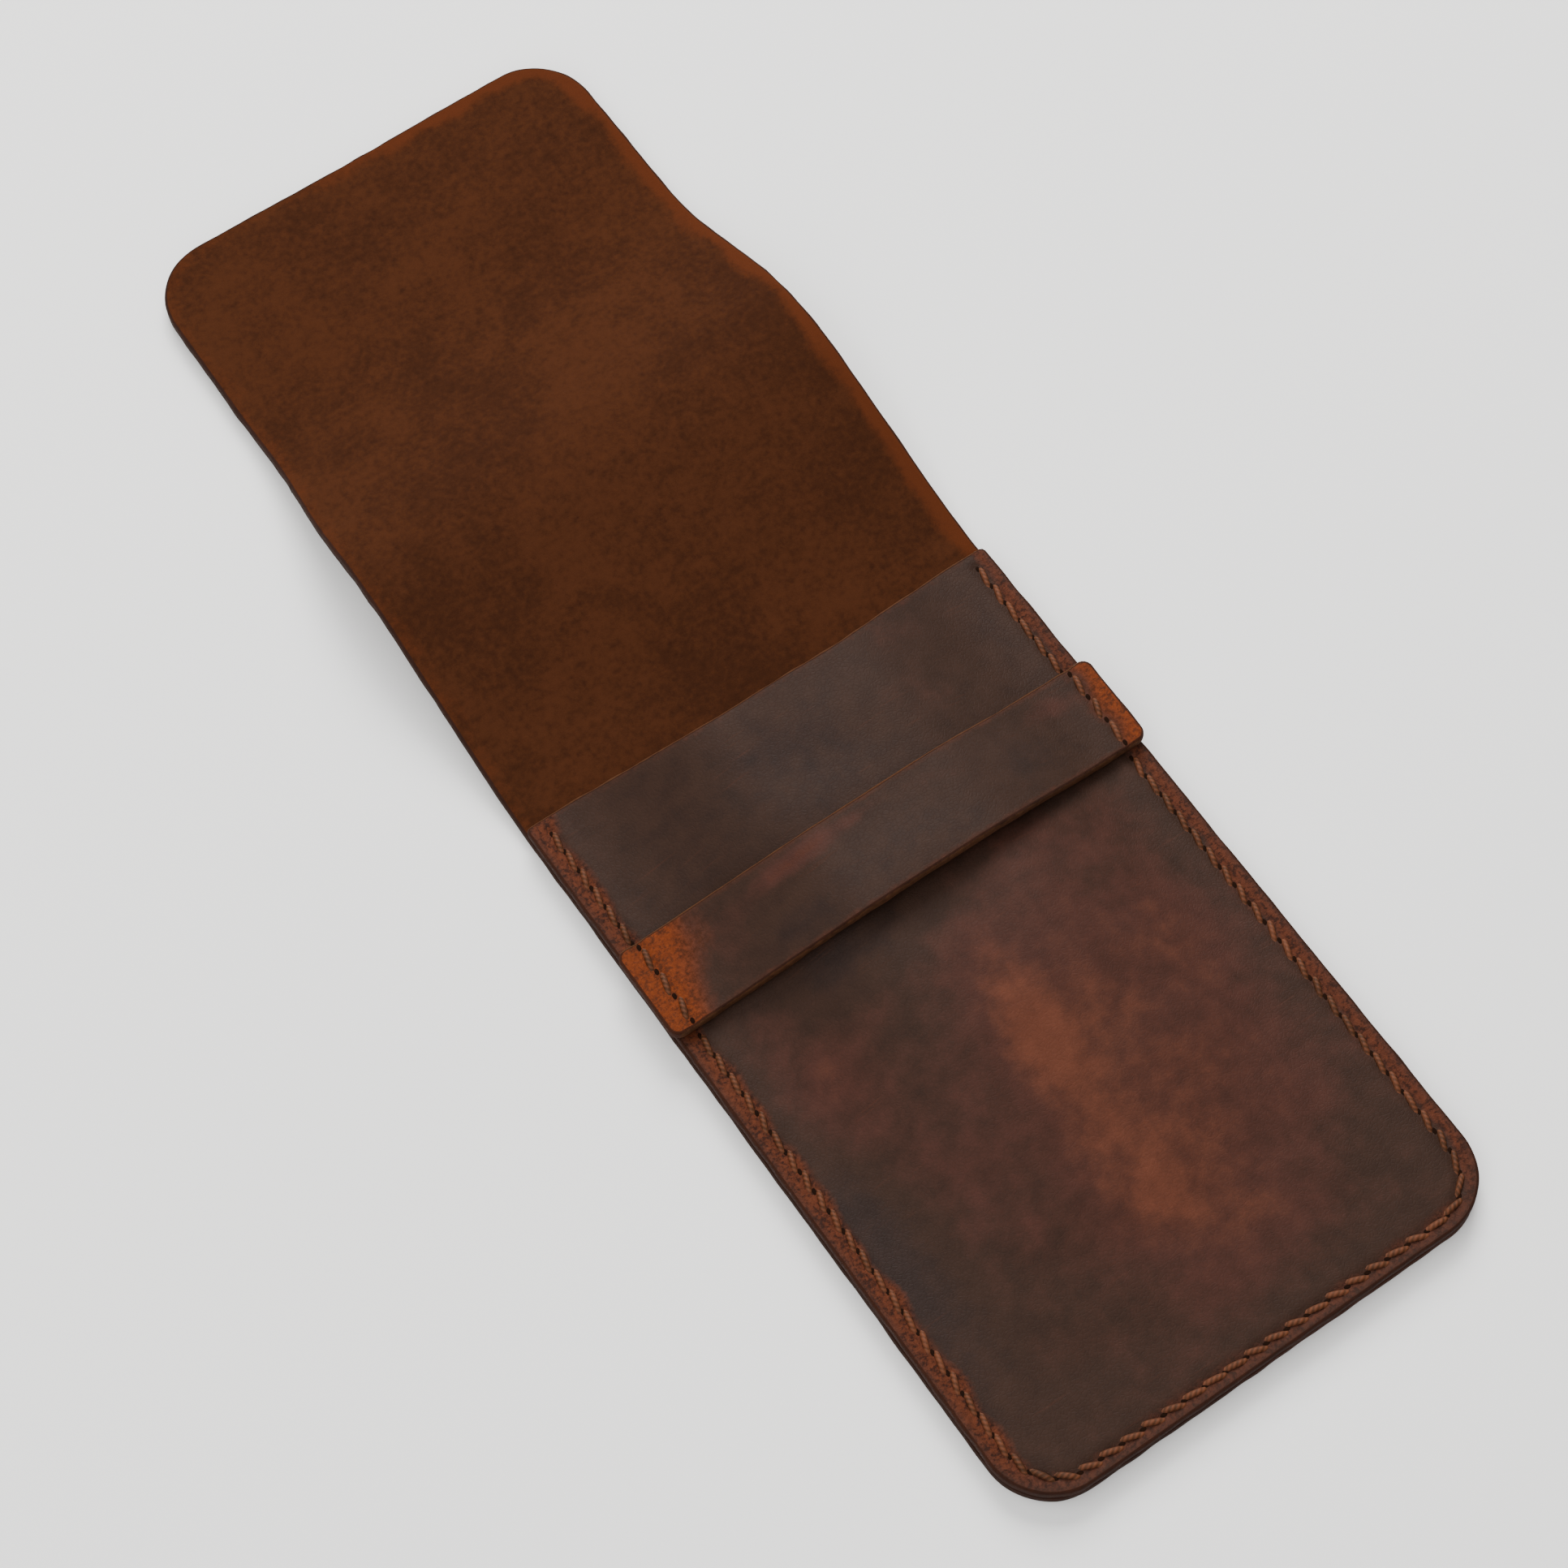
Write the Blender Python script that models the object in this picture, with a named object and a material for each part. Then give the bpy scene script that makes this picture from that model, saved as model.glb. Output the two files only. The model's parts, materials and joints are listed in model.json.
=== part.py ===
"""Leather pen case with a sewn pocket, a closing band and a fold-over flap.

The case lies on its back and is open: +Y runs along its length towards the flap's
end, +X runs across it and +Z points up. The origin is below the middle of the
open case. All sizes are in metres.

The back panel and the flap are one piece of leather in the real case. Here the
flap is cut across into a root, two narrow fold strips, a middle and a tip, so
that it can roll over the pocket the way the leather does.
"""
import math

import bmesh
import bpy
from mathutils import Matrix, Vector

# Sizes of the sewn pocket
CASE_WIDTH = 0.080
POCKET_LENGTH = 0.121
LEATHER = 0.0018
CORNER_RADIUS = 0.0100
EDGE_ROUNDING = 0.00035
CLEARANCE = 0.0003

# The pocket stands open, in the shape that it has taken with use
SEAM_MARGIN = 0.0050
BULGE_HEIGHT = 0.0084
BULGE_FLAT_HALF = 0.0090
BULGE_END_LENGTH = 0.0660
MOUTH_SCOOP = 0.0042

# The band the flap's end slips under
BAND_HEIGHT = 0.0150
BAND_FROM_MOUTH = 0.0240
BAND_BOW = 0.0028
BAND_SLOT = 0.0021
BAND_SEWN_WIDTH = 0.0050
BAND_OVERHANG = 0.0007
BAND_END_RADIUS = 0.0016
BAND_FLAT_HALF = 0.0090

# The flap, measured along the leather from the pocket's mouth
FLAP_LENGTH = 0.1130
FLAP_FIXED_LENGTH = 0.0080
FLAP_ROOT_LENGTH = 0.0308
FOLD_STRIP_LENGTH = 0.00632
FOLD_STRIPS = 2
FLAP_TAPER = 0.0009
FLAP_STEP = 0.0017
FLAP_STEP_START = 0.0520
FLAP_STEP_END = 0.0760
FLAP_CORNER_RADIUS = 0.0105

# How the open flap lies, in degrees from the level
ROOT_RISE = 14.5
MIDDLE_FALL = 16.0

# The seam
SEAM_INSET = 0.0028
SEAM_MOUTH_GAP = 0.0026
STITCH_PITCH = 0.0030
THREAD_RADIUS = 0.00038
THREAD_WAVE = 0.00020
GROOVE_RADIUS = 0.00080
SEAM_LIFT = 0.00010
BACK_SEAM_LIFT = 0.00062
BAND_CLIMB = 0.0021

# How finely the shapes are divided
CORNER_STEPS = 10
BAND_END_STEPS = 4
EDGE_STEPS = 24
FORM_STEPS = 30
ROUNDING_SEGMENTS = 2
THREAD_SIDE_STEPS = 1
GROOVE_SIDE_STEPS = 2
MERGE_SHARE = 0.001

# Places that follow from the sizes
HALF_WIDTH = CASE_WIDTH / 2
BACK_TOP = LEATHER
FRONT_MIDDLE = BACK_TOP + CLEARANCE + LEATHER / 2
FRONT_TOP = FRONT_MIDDLE + LEATHER / 2
BAND_MIDDLE = FRONT_TOP + CLEARANCE + LEATHER / 2
BAND_TOP = BAND_MIDDLE + LEATHER / 2
BULGE_EDGE = HALF_WIDTH - SEAM_MARGIN
BAND_UPPER = POCKET_LENGTH - BAND_FROM_MOUTH
BAND_LOWER = BAND_UPPER - BAND_HEIGHT
BAND_RISE = FRONT_TOP + BULGE_HEIGHT + BAND_SLOT + LEATHER / 2 - BAND_MIDDLE
BAND_FREE_EDGE = HALF_WIDTH - BAND_SEWN_WIDTH
BAND_HALF_LENGTH = HALF_WIDTH + BAND_OVERHANG
FOLD_BEND = (ROOT_RISE + MIDDLE_FALL) / (FOLD_STRIPS + 1)

LEATHER_OUTER = (0.060, 0.033, 0.026, 1.0)
LEATHER_BAND = (0.075, 0.036, 0.025, 1.0)
LEATHER_FLESH = (0.078, 0.026, 0.010, 1.0)
THREAD_COLOR = (0.235, 0.090, 0.032, 1.0)


def smooth(value):
    """Return 0 to 1 with level ends for a value that runs from 0 to 1."""
    held = min(max(value, 0.0), 1.0)
    return held * held * (3.0 - 2.0 * held)


def spread(start, end, count):
    """Return evenly spaced values between two ends, both included."""
    return [start + (end - start) * index / count for index in range(count + 1)]


def clear_scene():
    """Remove everything that is in the open file."""
    for item in list(bpy.data.objects):
        bpy.data.objects.remove(item, do_unlink=True)
    for group in list(bpy.data.collections):
        bpy.data.collections.remove(group)


def new_collection(name):
    """Return a new collection that is linked to the scene."""
    group = bpy.data.collections.new(name)
    bpy.context.scene.collection.children.link(group)
    return group


def new_material(name, color, roughness):
    """Return a Principled material with the given colour and roughness."""
    material = bpy.data.materials.new(name)
    material.use_nodes = True
    shader = material.node_tree.nodes["Principled BSDF"]
    shader.inputs["Base Color"].default_value = color
    shader.inputs["Roughness"].default_value = roughness
    material.diffuse_color = color
    return material


def flap_half_width(along):
    """Return half the flap's width at a distance along it from the mouth."""
    step = smooth((along - FLAP_STEP_START) / (FLAP_STEP_END - FLAP_STEP_START))
    return HALF_WIDTH - FLAP_TAPER * along / FLAP_LENGTH - FLAP_STEP * step


def arc(center_x, center_y, radius, start, end, steps):
    """Return points on an arc between two angles in degrees, both ends included."""
    points = []
    for index in range(steps + 1):
        angle = math.radians(start + (end - start) * index / steps)
        points.append((center_x + radius * math.cos(angle), center_y + radius * math.sin(angle)))
    return points


def mirrored(right_side):
    """Close an outline: the right side going up, then its mirror image coming down."""
    left_side = [(-x, y) for x, y in reversed(right_side)]
    return right_side + left_side


def pocket_side(top):
    """Return the right side of a pocket panel, from its rounded corner up to top."""
    side = arc(HALF_WIDTH - CORNER_RADIUS, CORNER_RADIUS, CORNER_RADIUS, -90, 0, CORNER_STEPS)
    side.append((HALF_WIDTH, top))
    return side


def arch(x, foot, flat_half):
    """Return 1 over the arch's flat middle, falling smoothly to 0 at its foot."""
    return smooth((foot - abs(x)) / (foot - flat_half))


def bowed_edge(level, depth, foot, flat_half):
    """Return an edge from the left to the right that dips where the leather stands up."""
    points = []
    for x in spread(-foot, foot, EDGE_STEPS):
        points.append((x, level - depth * arch(x, foot, flat_half)))
    return points


def leather_sheet(outline, thickness):
    """Return a mesh under construction: an outline extruded both ways, rims rounded.

    The sheet's middle lies at height zero.
    """
    sheet = bmesh.new()
    corners = [sheet.verts.new((x, y, -thickness / 2)) for x, y in outline]
    face = sheet.faces.new(corners)
    raised = bmesh.ops.extrude_face_region(sheet, geom=[face])
    top = [item for item in raised["geom"] if isinstance(item, bmesh.types.BMVert)]
    bmesh.ops.translate(sheet, vec=(0, 0, thickness), verts=top)
    bmesh.ops.recalc_face_normals(sheet, faces=sheet.faces)
    rims = []
    for edge in sheet.edges:
        level = edge.verts[0].co.z == edge.verts[1].co.z
        if level:
            rims.append(edge)
    bmesh.ops.bevel(sheet, geom=rims, offset=EDGE_ROUNDING, segments=ROUNDING_SEGMENTS,
                    profile=0.5, affect="EDGES", clamp_overlap=True)
    return sheet


def score(sheet, direction, places):
    """Divide a sheet by straight lines across the given direction."""
    for place in places:
        geometry = list(sheet.verts) + list(sheet.edges) + list(sheet.faces)
        bmesh.ops.bisect_plane(sheet, geom=geometry, dist=EDGE_ROUNDING * MERGE_SHARE,
                               plane_co=direction * place, plane_no=direction)


def form(sheet, middle, height):
    """Bend a flat sheet to a height given as a function of x and y.

    Each point keeps its distance from the sheet's middle surface, so the leather
    stays as thick on the slopes as it is on the flat.
    """
    small = EDGE_ROUNDING
    for vertex in sheet.verts:
        x, y, offset = vertex.co
        slope_x = (height(x + small, y) - height(x - small, y)) / (2 * small)
        slope_y = (height(x, y + small) - height(x, y - small)) / (2 * small)
        normal = Vector((-slope_x, -slope_y, 1)).normalized()
        vertex.co = Vector((x, y, middle + height(x, y))) + normal * offset


def fold_gap():
    """Return the gap left across the flap where it bends backwards at rest."""
    return CLEARANCE + LEATHER * math.tan(math.radians(FOLD_BEND))


def flap_segments():
    """Return each piece of the flap with its length, its fall or rise and its gaps."""
    rise = FLAP_ROOT_LENGTH * math.sin(math.radians(ROOT_RISE))
    strips = []
    for index in range(FOLD_STRIPS):
        angle = ROOT_RISE - FOLD_BEND * (index + 1)
        rise += FOLD_STRIP_LENGTH * math.sin(math.radians(angle))
        strips.append((f"flap_fold_{index + 1}", FOLD_STRIP_LENGTH, angle, fold_gap(), fold_gap()))
    middle_length = (rise - CLEARANCE) / math.sin(math.radians(MIDDLE_FALL))
    used = FLAP_FIXED_LENGTH + FLAP_ROOT_LENGTH + FOLD_STRIPS * FOLD_STRIP_LENGTH + middle_length
    segments = [("flap_root", FLAP_ROOT_LENGTH, ROOT_RISE, CLEARANCE, fold_gap())]
    segments += strips
    segments.append(("flap_middle", middle_length, -MIDDLE_FALL, fold_gap(), CLEARANCE))
    segments.append(("flap_tip", FLAP_LENGTH - used, 0.0, CLEARANCE, 0.0))
    return segments


def open_length():
    """Return the open case's length along Y, from the pocket's bottom to the flap's end."""
    length = POCKET_LENGTH + FLAP_FIXED_LENGTH
    for name, along, angle, gap_before, gap_after in flap_segments():
        length += along * math.cos(math.radians(angle))
    return length


def finish(name, sheet, material, group, matrix=None):
    """Turn a sheet into an object of the group, with the open case centred in Y."""
    bmesh.ops.remove_doubles(sheet, verts=sheet.verts, dist=EDGE_ROUNDING * MERGE_SHARE)
    bmesh.ops.recalc_face_normals(sheet, faces=sheet.faces)
    mesh = bpy.data.meshes.new(name)
    sheet.to_mesh(mesh)
    sheet.free()
    mesh.materials.append(material)
    item = bpy.data.objects.new(name, mesh)
    group.objects.link(item)
    place = Matrix.Translation((0, -open_length() / 2, 0))
    if matrix is None:
        mesh.transform(place)
    else:
        item.matrix_world = place @ matrix
    return item


def bulge(x, y):
    """Return how far the front panel stands above its own seam margin."""
    along = smooth((y - SEAM_MARGIN) / BULGE_END_LENGTH)
    return BULGE_HEIGHT * arch(x, BULGE_EDGE, BULGE_FLAT_HALF) * along


def band_bulge(x, y):
    """Return how far the band stands above its own sewn ends."""
    return BAND_RISE * arch(x, BAND_FREE_EDGE, BAND_FLAT_HALF)


def build_back_panel(group):
    """Build the back, with the first part of the flap above the mouth."""
    top = POCKET_LENGTH + FLAP_FIXED_LENGTH - CLEARANCE / 2
    side = pocket_side(POCKET_LENGTH)
    side.append((flap_half_width(FLAP_FIXED_LENGTH), top))
    sheet = leather_sheet(mirrored(side), LEATHER)
    bmesh.ops.translate(sheet, vec=(0, 0, LEATHER / 2), verts=sheet.verts)
    material = new_material("back_leather", LEATHER_OUTER, 0.55)
    return finish("back_panel", sheet, material, group)


def build_front_panel(group):
    """Build the front of the pocket, which bulges as it does with use."""
    side = pocket_side(POCKET_LENGTH)
    left = [(-x, y) for x, y in reversed(side)]
    mouth = bowed_edge(POCKET_LENGTH, MOUTH_SCOOP, BULGE_EDGE, BULGE_FLAT_HALF)
    outline = side + list(reversed(mouth)) + left
    sheet = leather_sheet(outline, LEATHER)
    score(sheet, Vector((1, 0, 0)), spread(-BULGE_EDGE, BULGE_EDGE, FORM_STEPS))
    score(sheet, Vector((0, 1, 0)), spread(SEAM_MARGIN, SEAM_MARGIN + BULGE_END_LENGTH, FORM_STEPS // 2))
    form(sheet, FRONT_MIDDLE, bulge)
    material = new_material("front_leather", LEATHER_OUTER, 0.5)
    return finish("front_panel", sheet, material, group)


def build_band(group):
    """Build the band across the front, with room below it for the flap's end.

    Its rounded ends stand out a little past the pocket's edges.
    """
    upper = bowed_edge(BAND_UPPER, BAND_BOW, BAND_FREE_EDGE, BAND_FLAT_HALF)
    lower = bowed_edge(BAND_LOWER, BAND_BOW, BAND_FREE_EDGE, BAND_FLAT_HALF)
    corner_x = BAND_HALF_LENGTH - BAND_END_RADIUS
    right = arc(corner_x, BAND_LOWER + BAND_END_RADIUS, BAND_END_RADIUS, -90, 0, BAND_END_STEPS)
    right += arc(corner_x, BAND_UPPER - BAND_END_RADIUS, BAND_END_RADIUS, 0, 90, BAND_END_STEPS)
    left = [(-x, y) for x, y in reversed(right)]
    outline = lower + right + list(reversed(upper)) + left
    sheet = leather_sheet(outline, LEATHER)
    score(sheet, Vector((1, 0, 0)), spread(-BAND_FREE_EDGE, BAND_FREE_EDGE, FORM_STEPS))
    form(sheet, BAND_MIDDLE, band_bulge)
    material = new_material("band_leather", LEATHER_BAND, 0.5)
    return finish("closure_band", sheet, material, group)


def build_flap(group):
    """Build the flap's pieces one after another, each with its origin on its hinge line."""
    along = FLAP_FIXED_LENGTH
    hinge = Vector((0, POCKET_LENGTH + FLAP_FIXED_LENGTH, BACK_TOP))
    for name, length, angle, gap_before, gap_after in flap_segments():
        start = gap_before / 2
        end = length - gap_after / 2
        rounded = name == "flap_tip"
        steps = EDGE_STEPS if length > FOLD_STRIP_LENGTH else 1
        straight_end = end - FLAP_CORNER_RADIUS if rounded else end
        side = []
        for place in spread(start, straight_end, steps):
            side.append((flap_half_width(along + place), place))
        if rounded:
            corner_x = side[-1][0] - FLAP_CORNER_RADIUS
            corner = arc(corner_x, straight_end, FLAP_CORNER_RADIUS, 0, 90, CORNER_STEPS)
            side += corner[1:]
        sheet = leather_sheet(mirrored(side), LEATHER)
        bmesh.ops.translate(sheet, vec=(0, 0, -LEATHER / 2), verts=sheet.verts)
        material = new_material(name + "_leather", LEATHER_FLESH, 0.85)
        turn = Matrix.Rotation(math.radians(angle), 4, "X")
        finish(name, sheet, material, group, Matrix.Translation(hinge) @ turn)
        hinge = hinge + turn @ Vector((0, length, 0))
        along += length


def seam_path():
    """Return the seam's plan from the right end of the mouth round to the left end."""
    inner = CORNER_RADIUS - SEAM_INSET
    side_x = HALF_WIDTH - SEAM_INSET
    right = [(side_x, POCKET_LENGTH - SEAM_MOUTH_GAP)]
    right += arc(side_x - inner, CORNER_RADIUS, inner, 0, -90, CORNER_STEPS)
    left = [(-x, y) for x, y in reversed(right)]
    return [Vector(point) for point in right + left]


def walk(path, pitch):
    """Return points along a path, a whole number of equal steps near the pitch."""
    lengths = [(b - a).length for a, b in zip(path, path[1:])]
    total = sum(lengths)
    count = 2 * round(total / pitch)
    points = []
    for index in range(count + 1):
        left = total * index / count
        piece = 0
        while piece < len(lengths) - 1 and left > lengths[piece]:
            left -= lengths[piece]
            piece += 1
        share = left / lengths[piece]
        points.append(path[piece].lerp(path[piece + 1], share))
    return points


def front_level(y):
    """Return the height the front seam runs at: on the margin, or over the band."""
    below = smooth((y - BAND_LOWER + BAND_CLIMB) / BAND_CLIMB)
    above = smooth((BAND_UPPER + BAND_CLIMB - y) / BAND_CLIMB)
    return FRONT_TOP + SEAM_LIFT + (BAND_TOP - FRONT_TOP) * below * above


def back_level(y):
    """Return the height the back seam runs at, in its groove under the back panel."""
    return BACK_SEAM_LIFT


def tube(name, points, radius, side_steps, group, material=None):
    """Build a round tube with closed ends along the given points."""
    curve = bpy.data.curves.new(name, "CURVE")
    curve.dimensions = "3D"
    curve.bevel_depth = radius
    curve.bevel_resolution = side_steps
    curve.use_fill_caps = True
    spline = curve.splines.new("POLY")
    spline.points.add(len(points) - 1)
    for place, point in zip(points, spline.points):
        point.co = (place[0], place[1], place[2], 1)
    source = bpy.data.objects.new(name + "_line", curve)
    bpy.context.scene.collection.objects.link(source)
    shape = bpy.data.meshes.new_from_object(source.evaluated_get(bpy.context.evaluated_depsgraph_get()))
    bpy.data.objects.remove(source, do_unlink=True)
    sheet = bmesh.new()
    sheet.from_mesh(shape)
    bpy.data.meshes.remove(shape)
    if material is None:
        material = new_material(name + "_marker", THREAD_COLOR, 0.9)
    return finish(name, sheet, material, group)


def build_seam(name, level, parts, cutters, panels):
    """Build one run of seam thread and cut a groove for it into the given panels."""
    plan = seam_path()
    thread = []
    for index, point in enumerate(walk(plan, STITCH_PITCH)):
        wave = THREAD_WAVE if index % 2 else -THREAD_WAVE
        thread.append((point.x, point.y, level(point.y) + wave))
    tube(name, thread, THREAD_RADIUS, THREAD_SIDE_STEPS, parts,
         new_material(name + "_fibre", THREAD_COLOR, 0.8))
    run = [Vector((point.x, point.y, level(point.y))) for point in walk(plan, STITCH_PITCH)]
    run.insert(0, run[0] + (run[0] - run[1]).normalized() * GROOVE_RADIUS)
    run.append(run[-1] + (run[-1] - run[-2]).normalized() * GROOVE_RADIUS)
    cutter = tube(name + "_groove", run, GROOVE_RADIUS, GROOVE_SIDE_STEPS, cutters)
    cutter.hide_render = True
    cutter.display_type = "WIRE"
    for panel in panels:
        cut = panel.modifiers.new("seam_groove", "BOOLEAN")
        cut.operation = "DIFFERENCE"
        cut.solver = "EXACT"
        cut.object = cutter


def main():
    """Build the whole case."""
    clear_scene()
    parts = new_collection("Leather_pen_case")
    cutters = new_collection("Cutters")
    back = build_back_panel(parts)
    front = build_front_panel(parts)
    band = build_band(parts)
    build_flap(parts)
    build_seam("seam_thread_front", front_level, parts, cutters, [front, band])
    build_seam("seam_thread_back", back_level, parts, cutters, [back])


main()
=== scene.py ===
"""Finish of the leather pen case: waxed pull-up leather, its flesh side and a saddle-stitched seam.

Lengths are in metres, in the frame's own axes: +Y runs along the open case towards the end
of its flap and +Z points up. A place on the leather is given by x, across from the middle,
and v, along the leather from the bottom of the pocket. On the flap v runs up over its wave.
"""
import json
import logging
import math
from collections import Counter
from dataclasses import asdict, dataclass, field, replace
from enum import Enum
from typing import Callable

import bpy
import numpy as np
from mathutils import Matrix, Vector


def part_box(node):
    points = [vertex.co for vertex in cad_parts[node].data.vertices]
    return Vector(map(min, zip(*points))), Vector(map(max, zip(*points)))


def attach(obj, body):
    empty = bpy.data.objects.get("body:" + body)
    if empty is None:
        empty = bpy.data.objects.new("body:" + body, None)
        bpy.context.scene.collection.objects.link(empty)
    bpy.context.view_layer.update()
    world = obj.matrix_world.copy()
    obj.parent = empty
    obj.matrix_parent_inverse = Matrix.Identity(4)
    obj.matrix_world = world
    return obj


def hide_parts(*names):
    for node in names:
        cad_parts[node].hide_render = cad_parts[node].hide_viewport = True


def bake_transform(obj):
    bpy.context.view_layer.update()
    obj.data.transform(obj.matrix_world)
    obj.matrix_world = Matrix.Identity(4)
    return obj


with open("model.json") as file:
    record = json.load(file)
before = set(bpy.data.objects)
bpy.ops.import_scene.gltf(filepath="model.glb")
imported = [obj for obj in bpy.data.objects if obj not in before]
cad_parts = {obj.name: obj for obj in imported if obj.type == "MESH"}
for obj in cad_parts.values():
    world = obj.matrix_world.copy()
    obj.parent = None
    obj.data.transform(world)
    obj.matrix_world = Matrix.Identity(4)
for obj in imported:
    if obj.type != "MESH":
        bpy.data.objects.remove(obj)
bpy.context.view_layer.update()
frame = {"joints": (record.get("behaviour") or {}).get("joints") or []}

LOG = logging.getLogger("pen_case")
MM = 0.001
STEP = 0.00005
RIM = 0.00038

Array = np.ndarray
Field = Callable[[Array, Array], Array]
Socket = bpy.types.NodeSocket
Pair = tuple[Array, Array]
Groups = dict[str, bpy.types.NodeTree]


class Side(Enum):
    """The three faces of a cut piece of leather, by the place of their material."""

    GRAIN = 0
    FLESH = 1
    CUT = 2


class Hinge(Enum):
    """The places where the flap bends, in order from the pocket."""

    ROOT = "flap_root_hinge"
    FOLD_1 = "fold_hinge_1"
    FOLD_2 = "fold_hinge_2"
    FOLD_3 = "fold_hinge_3"
    TIP = "flap_tip_hinge"


def smooth(value: Array) -> Array:
    """Ease a value that runs from 0 to 1, with level ends; outside them it is held."""
    held = np.clip(value, 0.0, 1.0)
    return held * held * (3.0 - 2.0 * held)


def ripple(x: Array, v: Array, size: float, seed: int) -> Array:
    """Give a smooth uneven surface, the same at each run.

    Args:
        x: Places across the leather.
        v: Places along the leather.
        size: The usual distance from one rise to the next.
        seed: Picks the pattern.

    Returns:
        Heights from about -1 to 1.
    """
    draw = np.random.default_rng(seed)
    waves, least, most = 14, 0.6, 1.7
    total = np.zeros(np.broadcast(x, v).shape)
    for angle, phase, stretch in zip(draw.uniform(0, math.tau, waves), draw.uniform(0, math.tau, waves),
                                     draw.uniform(least, most, waves)):
        turns = math.tau * stretch / size
        total = total + np.sin(turns * (x * math.cos(angle) + v * math.sin(angle)) + phase)
    return total / math.sqrt(2 * waves)


@dataclass(frozen=True)
class Grading:
    """The steps of a grid, fine near both ends of a length and coarse between."""

    fine: float
    coarse: float
    edge: float

    def divide(self, start: float, end: float, stops: tuple[float, ...] = ()) -> Array:
        """Divide a length.

        Args:
            start: Where the length starts.
            end: Where it ends.
            stops: Places that have to be kept as they are.

        Returns:
            The places of the divisions, in order.
        """
        edge = min(self.edge, (end - start) / 3)
        marks = sorted({start, start + edge, end - edge, end, *stops})
        places = [marks[0]]
        for low, high in zip(marks, marks[1:]):
            middle = (low + high) / 2
            near = middle < start + edge or middle > end - edge
            count = max(1, round((high - low) / (self.fine if near else self.coarse)))
            places.extend(low + (high - low) * (index + 1) / count for index in range(count))
        return np.array(places)


def corner_stops(half: float, radii: tuple[float, ...]) -> tuple[float, ...]:
    """Return the places across a grid where its rounded corners begin."""
    return tuple(sign * (half - (radius - RIM)) for radius in radii if radius for sign in (1, -1))


def upward(surface: Field, x: Array, v: Array) -> Array:
    """Return the upward direction of bent leather at each place.

    Args:
        surface: Gives the leather's world points.
        x: Places across.
        v: Places along.

    Returns:
        Directions of length 1, one row for each place.
    """
    across = surface(x + STEP, v) - surface(x - STEP, v)
    along = surface(x, v + STEP) - surface(x, v - STEP)
    cross = np.cross(across, along)
    return cross / np.linalg.norm(cross, axis=-1, keepdims=True)


def inside(x: Array, v: Array, half_width: Array, end: Array, radius: Array) -> Array:
    """Return how far a place lies in from two sides and an end with rounded corners.

    Args:
        x: Places across.
        v: Places in from the end, for the corners.
        half_width: Half the width there.
        end: Places in from the end, for the straight edges.
        radius: The corners' radius.

    Returns:
        The distances, which are 0 at the edge.
    """
    over_x = np.abs(x) - (half_width - radius)
    over_v = radius - v
    corner = radius - np.hypot(np.maximum(over_x, 0), np.maximum(over_v, 0))
    return np.where((over_x > 0) & (over_v > 0), corner, np.minimum(half_width - np.abs(x), end))


@dataclass(frozen=True)
class Unevenness:
    """A smooth uneven height or reach: its amount, its usual size and its pattern."""

    amount: float
    size: float
    seed: int

    def at(self, x: Array, v: Array) -> Array:
        """Return the heights at each place."""
        return self.amount * ripple(x, v, self.size, self.seed)


@dataclass(frozen=True)
class Furrow:
    """The groove that a seam pulls into the leather: its depth and half its width."""

    depth: float
    half: float

    def at(self, away: Array) -> Array:
        """Return the groove's depth at distances from the seam."""
        return self.depth * np.exp(-(away / self.half) ** 2)


@dataclass(frozen=True)
class Border:
    """A mark along an edge: its strength, how far in it reaches and how softly it ends."""

    share: float
    reach: float
    fade: float

    def at(self, away: Array) -> Array:
        """Return the mark's strength at distances from the edge."""
        return self.share * smooth((self.reach - away) / self.fade)


@dataclass(frozen=True)
class Patch:
    """A soft-edged spot where waxed leather has turned lighter or darker, in millimetres; one on the front
    is partly painted light.
    """

    x: float
    v: float
    half_x: float
    half_v: float
    strength: float

    def at(self, x: Array, v: Array) -> Array:
        """Return the patch's strength at each place."""
        reach = ((x - self.x * MM) / (self.half_x * MM)) ** 2 + ((v - self.v * MM) / (self.half_v * MM)) ** 2
        return self.strength * np.exp(-reach)


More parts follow.
